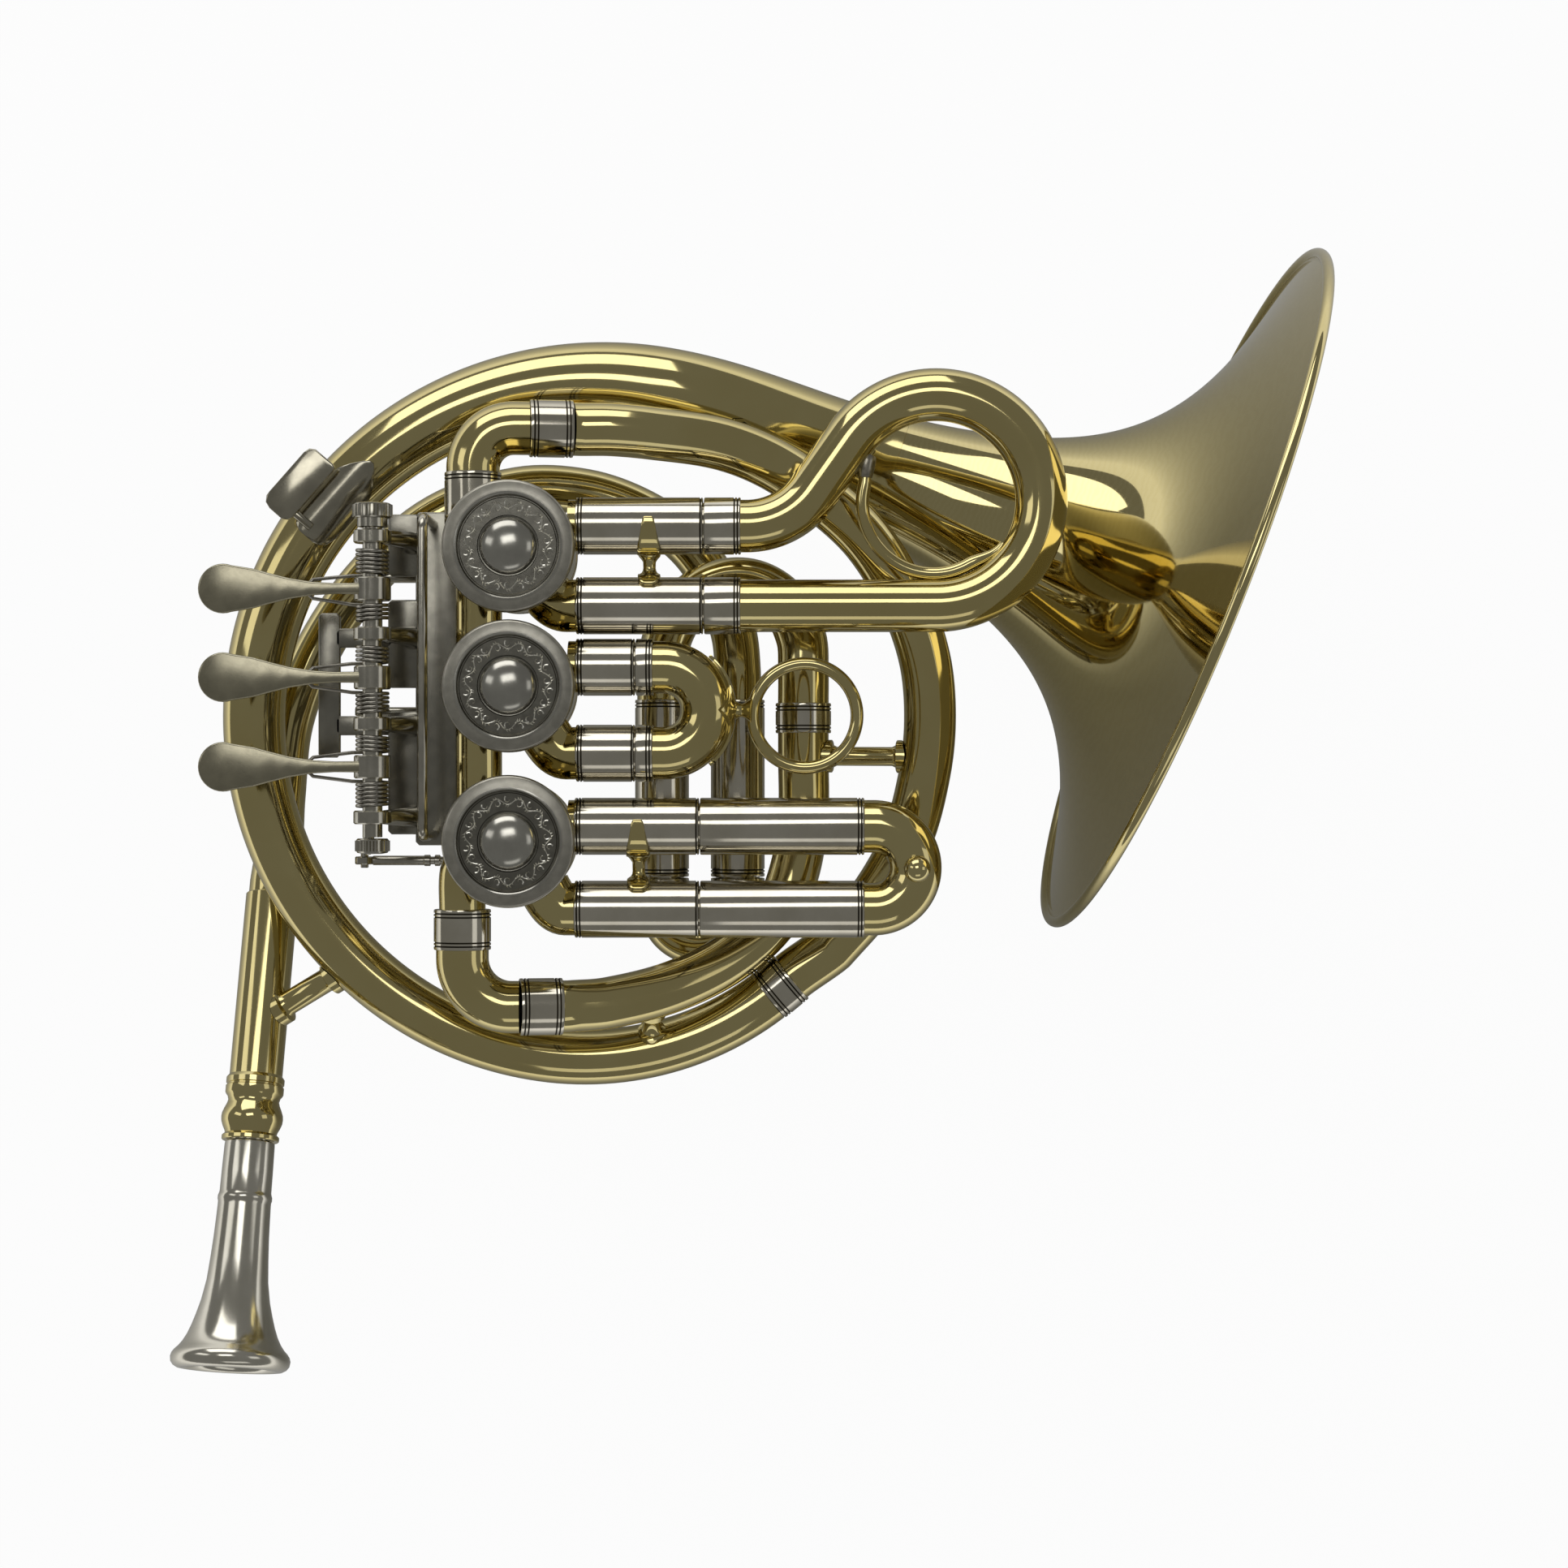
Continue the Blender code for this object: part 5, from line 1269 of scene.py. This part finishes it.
for i, y in enumerate(KEY_Y):
    above = (y + HUB_SIDE, min(p for p in POST_Y if p > y) - POST_SIDE)
    below = (y - HUB_SIDE, max(p for p in POST_Y if p < y) + POST_SIDE)
    bail = [vec(LEG_X, above[0] - 0.1, LEG_Z), vec(BAIL_X, above[0] - 1.2, BAIL_Z),
            vec(BAIL_X - 0.9, above[0] - 2.0, BAIL_Z), vec(BAIL_X - 0.9, below[0] + 2.0, BAIL_Z),
            vec(BAIL_X, below[0] + 1.2, BAIL_Z), vec(LEG_X, below[0] + 0.1, LEG_Z)]
    line = coil(*above)[::-1] + bail + coil(*below)
    settle(f"return_spring_{i + 1}", f"key_{i + 1}", STEEL, [f"key_spring_{i + 1}"], swept(line, WIRE, 12))

print("spring wire across, mm:", 2 * WIRE, "pitch:", PITCH)

# %% [markdown]
# ## Hinge
# All levers turn on one long screw with a knurled head and a knurled nut at its other end.
# The knurls come from the ring tree that sets the leaf scroll.

# %% Hinge rod and nut
low, high = POST_Y[-1] - 4.4, POST_Y[0] + 4.0
HEADS = ((high + 0.35, high + 3.05, 4.2), (low - 3.1, low - 0.75, 3.6))
KNURLS, KNURL_HALF, KNURL_RISE = 30, 0.27, 0.28


def knurls(first, last, radius):
    """Fine ridges round a screw head, set by the same ring tree as the leaf scroll."""
    bm = bmesh.new()
    ends = [[bm.verts.new((r * MM, y * MM, z * MM)) for r, y in
             ((radius - 0.2, -KNURL_HALF), (radius + KNURL_RISE, 0), (radius - 0.2, KNURL_HALF))]
            for z in (first, last)]
    bm.faces.new(ends[0])
    bm.faces.new(ends[1][::-1])
    for k in range(3):
        n = (k + 1) % 3
        bm.faces.new((ends[0][k], ends[1][k], ends[1][n], ends[0][n]))
    obj = worker(mesh_from(bm, "ridge"), axes_at((HINGE_X, 0, HINGE_Z), ALONG))
    return painted(grown(obj, SCROLL, "Count", KNURLS, HINGE_METAL), HINGE_METAL)


screw = [(0, high + 3.4), (3.7, high + 3.4), (4.1, high + 3.2), (4.2, high + 2.9), (4.2, high + 0.4),
         (4.0, high + 0.1), (3.4, high), (3.4, high - 1.9), (HINGE_R, high - 2.1), (HINGE_R, low), (0, low)]
nut = [(0, -0.6), (3.3, -0.6), (3.6, -0.9), (3.6, -3.4), (3.3, -3.8), (HINGE_R, -4.0), (0, -4.0)]
settle("hinge_rod", "horn", HINGE_METAL, ["hinge_screw"], knurls(*HEADS[0]),
       turned(screw, (HINGE_X, 0, HINGE_Z), ALONG, 48))
settle("hinge_end_nut", "horn", HINGE_METAL, ["hinge_nut"], knurls(*HEADS[1]),
       turned(nut, (HINGE_X, low + 0.3, HINGE_Z), ALONG, 48))

print("hinge screw from y =", round(low, 1), "to", round(high, 1))

# %% [markdown]
# ## Key bed and stop rail
# Four posts carry the hinge rod over a base plate. The plate reaches under the levers in tabs,
# with room between them for the arms, and a bent wire rail over it stops the levers.

# %% Key bed and stop rail
PLATE_X, PLATE_Z, PLATE_HALF = (-84.0, -74.1), (12.0, 13.5), 38
BAR_X, BAR_Y = (-106.2, -101.2), (6.0, 39.0)
TAB_X, TABS = -90.3, ((-11.5, 16.6), (21.9, 42.0), (47.3, 61.5))
LUG_HALF, CORNER, RAIL_BEND = 2.2, 0.8, 3
plate_y = (POST_Y[0] + POST_Y[-1]) / 2 + 0.25


def block(x0, x1, y0, y1):
    """A plate in the key bed's plane with small round corners."""
    c = CORNER
    corners = [(x0 + c, y0), (x1 - c, y0), (x1, y0 + c), (x1, y1 - c),
               (x1 - c, y1), (x0 + c, y1), (x0, y1 - c), (x0, y0 + c)]
    return painted(slab(corners, *PLATE_Z, edge=0.3), BED_METAL)


shapes = [block(*PLATE_X, plate_y - PLATE_HALF, plate_y + PLATE_HALF), block(*BAR_X, *BAR_Y)]
shapes += [block(TAB_X, PLATE_X[0] + 1, *tab) for tab in TABS]
shapes += [block(BAR_X[1] - 1, TAB_X + 1, y - LUG_HALF, y + LUG_HALF) for y in POST_Y[1:3]]
foot_x = PLATE_X[0] - 0.6
for y in POST_Y:
    shapes.append(turned([(2.5, -1.5), (3.9, -1.5), (4.2, -1.2), (4.2, 1.2), (3.9, 1.5), (2.5, 1.5)],
                         (HINGE_X, y, HINGE_Z), ALONG, 48, ring=True))
    shapes.append(swept([vec(HINGE_X + 2.4, y, HINGE_Z - 2.6), vec(HINGE_X + 4.4, y, HINGE_Z - 6),
                         vec(foot_x, y, PLATE_Z[1] + 7), vec(foot_x, y, PLATE_Z[1] + 2.6),
                         vec(foot_x, y, PLATE_Z[0] + 0.6)], [1.6, 1.9, 2.1, 2.3, 2.8], 24))
settle("key_frame", "horn", HINGE_METAL, ["key_plate"], *shapes)

rail_x, rail_top = PLATE_X[0] + 4, HINGE_Z + 2
a_y, b_y, bend = POST_Y[0] + 4.2, POST_Y[-1] - 4.2, RAIL_BEND
quarter = [k * math.pi / 16 for k in range(9)]
rail = [vec(rail_x, a_y, PLATE_Z[1])]
rail += [vec(rail_x, a_y - bend + bend * math.cos(t), rail_top - bend + bend * math.sin(t)) for t in quarter]
rail += [vec(rail_x, b_y + bend - bend * math.sin(t), rail_top - bend + bend * math.cos(t)) for t in quarter]
rail.append(vec(rail_x, b_y, PLATE_Z[1]))
settle("key_stop_rail", "horn", HINGE_METAL, ["stop_rail"], swept(rail, 1.15, 24))

print("key bed: one base plate,", len(TABS), "tabs and", len(POST_Y), "posts")

# %% [markdown]
# ## Materials for the CAD nodes that stay
# Some nodes are right as they are, such as the rotors inside the drums. They keep their
# mesh and only take a better finish.

# %% Kept nodes
KEPT = ("rotor_1", "rotor_2", "rotor_3", "bell_brace")
for name in KEPT:
    for holder in frame["nodes"][name].material_slots:
        holder.material = BRASS

print("kept nodes finished in brass:", len(KEPT))

# %% [markdown]
# ## Floor and world
# Polished metal is only as good as what it mirrors, so the metal sees a dim grey world with
# a few lamps in it. The camera sees white instead. The floor is white to the camera and in
# reflections too, apart from a painted shade in its reflections where the horn stands over it.


# %% Floor and world
PAINTED_SHADE_RADII = (0.14, 0.6)
FLOOR_R, FLOOR_Z, WHITENESS = 3.0, -0.002, 0.96


def maths(nodes, links, operation, *values):
    """A Math node whose inputs are numbers or other nodes' outputs; gives its output."""
    node = add_node(nodes, "ShaderNodeMath", operation=operation)
    for n, value in enumerate(values):
        if isinstance(value, float):
            node.inputs[n].default_value = value
        else:
            links.new(value, node.inputs[n])
    return node.outputs[0]


def mixed(nodes, links, factor, first, second, output):
    """Blends two shaders by a factor, into the tree's output."""
    mix = nodes.new("ShaderNodeMixShader")
    wire(links, (factor, mix.inputs["Fac"]), (first, mix.inputs[1]), (second, mix.inputs[2]),
         (mix.outputs[0], nodes[output].inputs["Surface"]))


def floor_finish():
    """Pale floor: white to the camera and in reflections, with painted shade in its reflections where the
    horn stands over it.
    """
    finish, nodes, links = new_material("pale_floor")
    shader = nodes["Principled BSDF"]
    shader.inputs["Roughness"].default_value = 0.9
    shader.inputs["Specular IOR Level"].default_value = 0.1
    glow = add_node(nodes, "ShaderNodeEmission", {"Color": (1, 1, 1, 1)})
    rays = nodes.new("ShaderNodeLightPath").outputs
    away = add_node(nodes, "ShaderNodeVectorMath", operation="LENGTH")
    shade = add_node(nodes, "ShaderNodeMapRange", {"From Min": PAINTED_SHADE_RADII[0], "From Max": PAINTED_SHADE_RADII[1]})
    # painted shade: near the horn, the floor seen in reflections takes the darker grey B instead of the pale
    # colour
    tone = add_node(nodes, "ShaderNodeMix", {"A": (0.86, 0.86, 0.86, 1), "B": (0.50, 0.50, 0.48, 1)},
                    data_type="RGBA")
    glossy, open_floor = rays["Is Glossy Ray"], shade.outputs["Result"]
    under = maths(nodes, links, "MULTIPLY", maths(nodes, links, "SUBTRACT", 1.0, open_floor), glossy)
    wire(links, (nodes.new("ShaderNodeTexCoord").outputs["Object"], away.inputs[0]),
         (away.outputs["Value"], shade.inputs["Value"]), (under, tone.inputs["Factor"]),
         (tone.outputs["Result"], shader.inputs["Base Color"]))
    total = maths(nodes, links, "MAXIMUM", rays["Is Camera Ray"], rays["Is Transmission Ray"])
    # painted shade: near the horn, the white glow is left out of what the metal mirrors
    total = maths(nodes, links, "MAXIMUM", total, maths(nodes, links, "MULTIPLY", glossy, open_floor))
    total = maths(nodes, links, "MULTIPLY", total, WHITENESS)
    mixed(nodes, links, total, shader.outputs[0], glow.outputs[0], "Material Output")
    return finish


bm = bmesh.new()
bmesh.ops.create_circle(bm, cap_ends=True, segments=96, radius=FLOOR_R)
floor_mesh = mesh_from(bm, "floor", recalc=False)
floor_mesh.materials.append(floor_finish())
floor = bpy.data.objects.new("floor", floor_mesh)
floor.location.z = FLOOR_Z
bpy.context.scene.collection.objects.link(floor)
floor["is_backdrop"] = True

room = bpy.data.worlds.new("room")
bpy.context.scene.world = room
room.use_nodes = True
nodes, links = room.node_tree.nodes, room.node_tree.links
sky = nodes["Background"]
sky.inputs["Color"].default_value = (0.19, 0.19, 0.185, 1)
sky.inputs["Strength"].default_value = 1.0
white = add_node(nodes, "ShaderNodeBackground", {"Color": (1, 1, 1, 1)})
rays = nodes.new("ShaderNodeLightPath")
mixed(nodes, links, rays.outputs["Is Camera Ray"], sky.outputs[0], white.outputs[0], "World Output")

print("floor shade runs between radii, m:", PAINTED_SHADE_RADII)

# %% [markdown]
# ## Lights and camera
# Area lamps are mirrored in the tubes as long bands, so their size and place matter more than
# their power. Each is set by how bright it looks in a mirror. The camera stands straight above
# the horn, where the photograph was taken from.

# %% Lights and camera
def lamp(name, place, aim, size_x, size_y, power):
    data = bpy.data.lights.new(name, "AREA")
    data.shape = "RECTANGLE"
    data.size, data.size_y = size_x, size_y
    data.energy = power
    obj = bpy.data.objects.new(name, data)
    obj.location = place
    obj.rotation_euler = (Vector(aim) - Vector(place)).to_track_quat("-Z", "Y").to_euler()
    bpy.context.scene.collection.objects.link(obj)


def glow_power(radiance, size_x, size_y):
    """The watts that give an area lamp this brightness in a mirror."""
    return radiance * math.pi * size_x * size_y


AIM = (0, 0, 0.1)
for name, place, size_x, size_y, radiance in (
        ("window", (-0.25, 0.95, 0.50), 0.9, 0.55, 1.9),
        ("ceiling_strip", (-0.10, 0.42, 1.35), 0.60, 0.32, 2.1),
        ("left_glow", (-1.0, 0.35, 0.9), 0.30, 0.6, 1.0),
        ("front_glow", (0.1, -0.95, 0.75), 0.7, 0.30, 0.6),
        ("right_glow", (1.1, 0.1, 0.9), 0.5, 0.5, 0.6)):
    lamp(name, place, AIM, size_x, size_y, glow_power(radiance, size_x, size_y))

LENS, CAMERA_HEIGHT = 69.13, 700
camera_data = bpy.data.cameras.new("camera")
camera_data.sensor_width = 36.0
camera_data.lens = LENS
camera = bpy.data.objects.new("camera", camera_data)
camera.location = world((0, 0, CAMERA_HEIGHT))
bpy.context.scene.collection.objects.link(camera)
bpy.context.scene.camera = camera
bpy.context.scene.view_settings.view_transform = "Standard"

print("camera at", [round(c, 3) for c in camera.location], "lens", camera_data.lens)

# %% [markdown]
# ## Finish
# The size of the dressed horn's box is printed, in millimetres.

# %% Finish
low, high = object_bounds()
print("dressed box, mm:", [round(c / MM, 2) for c in high - low])
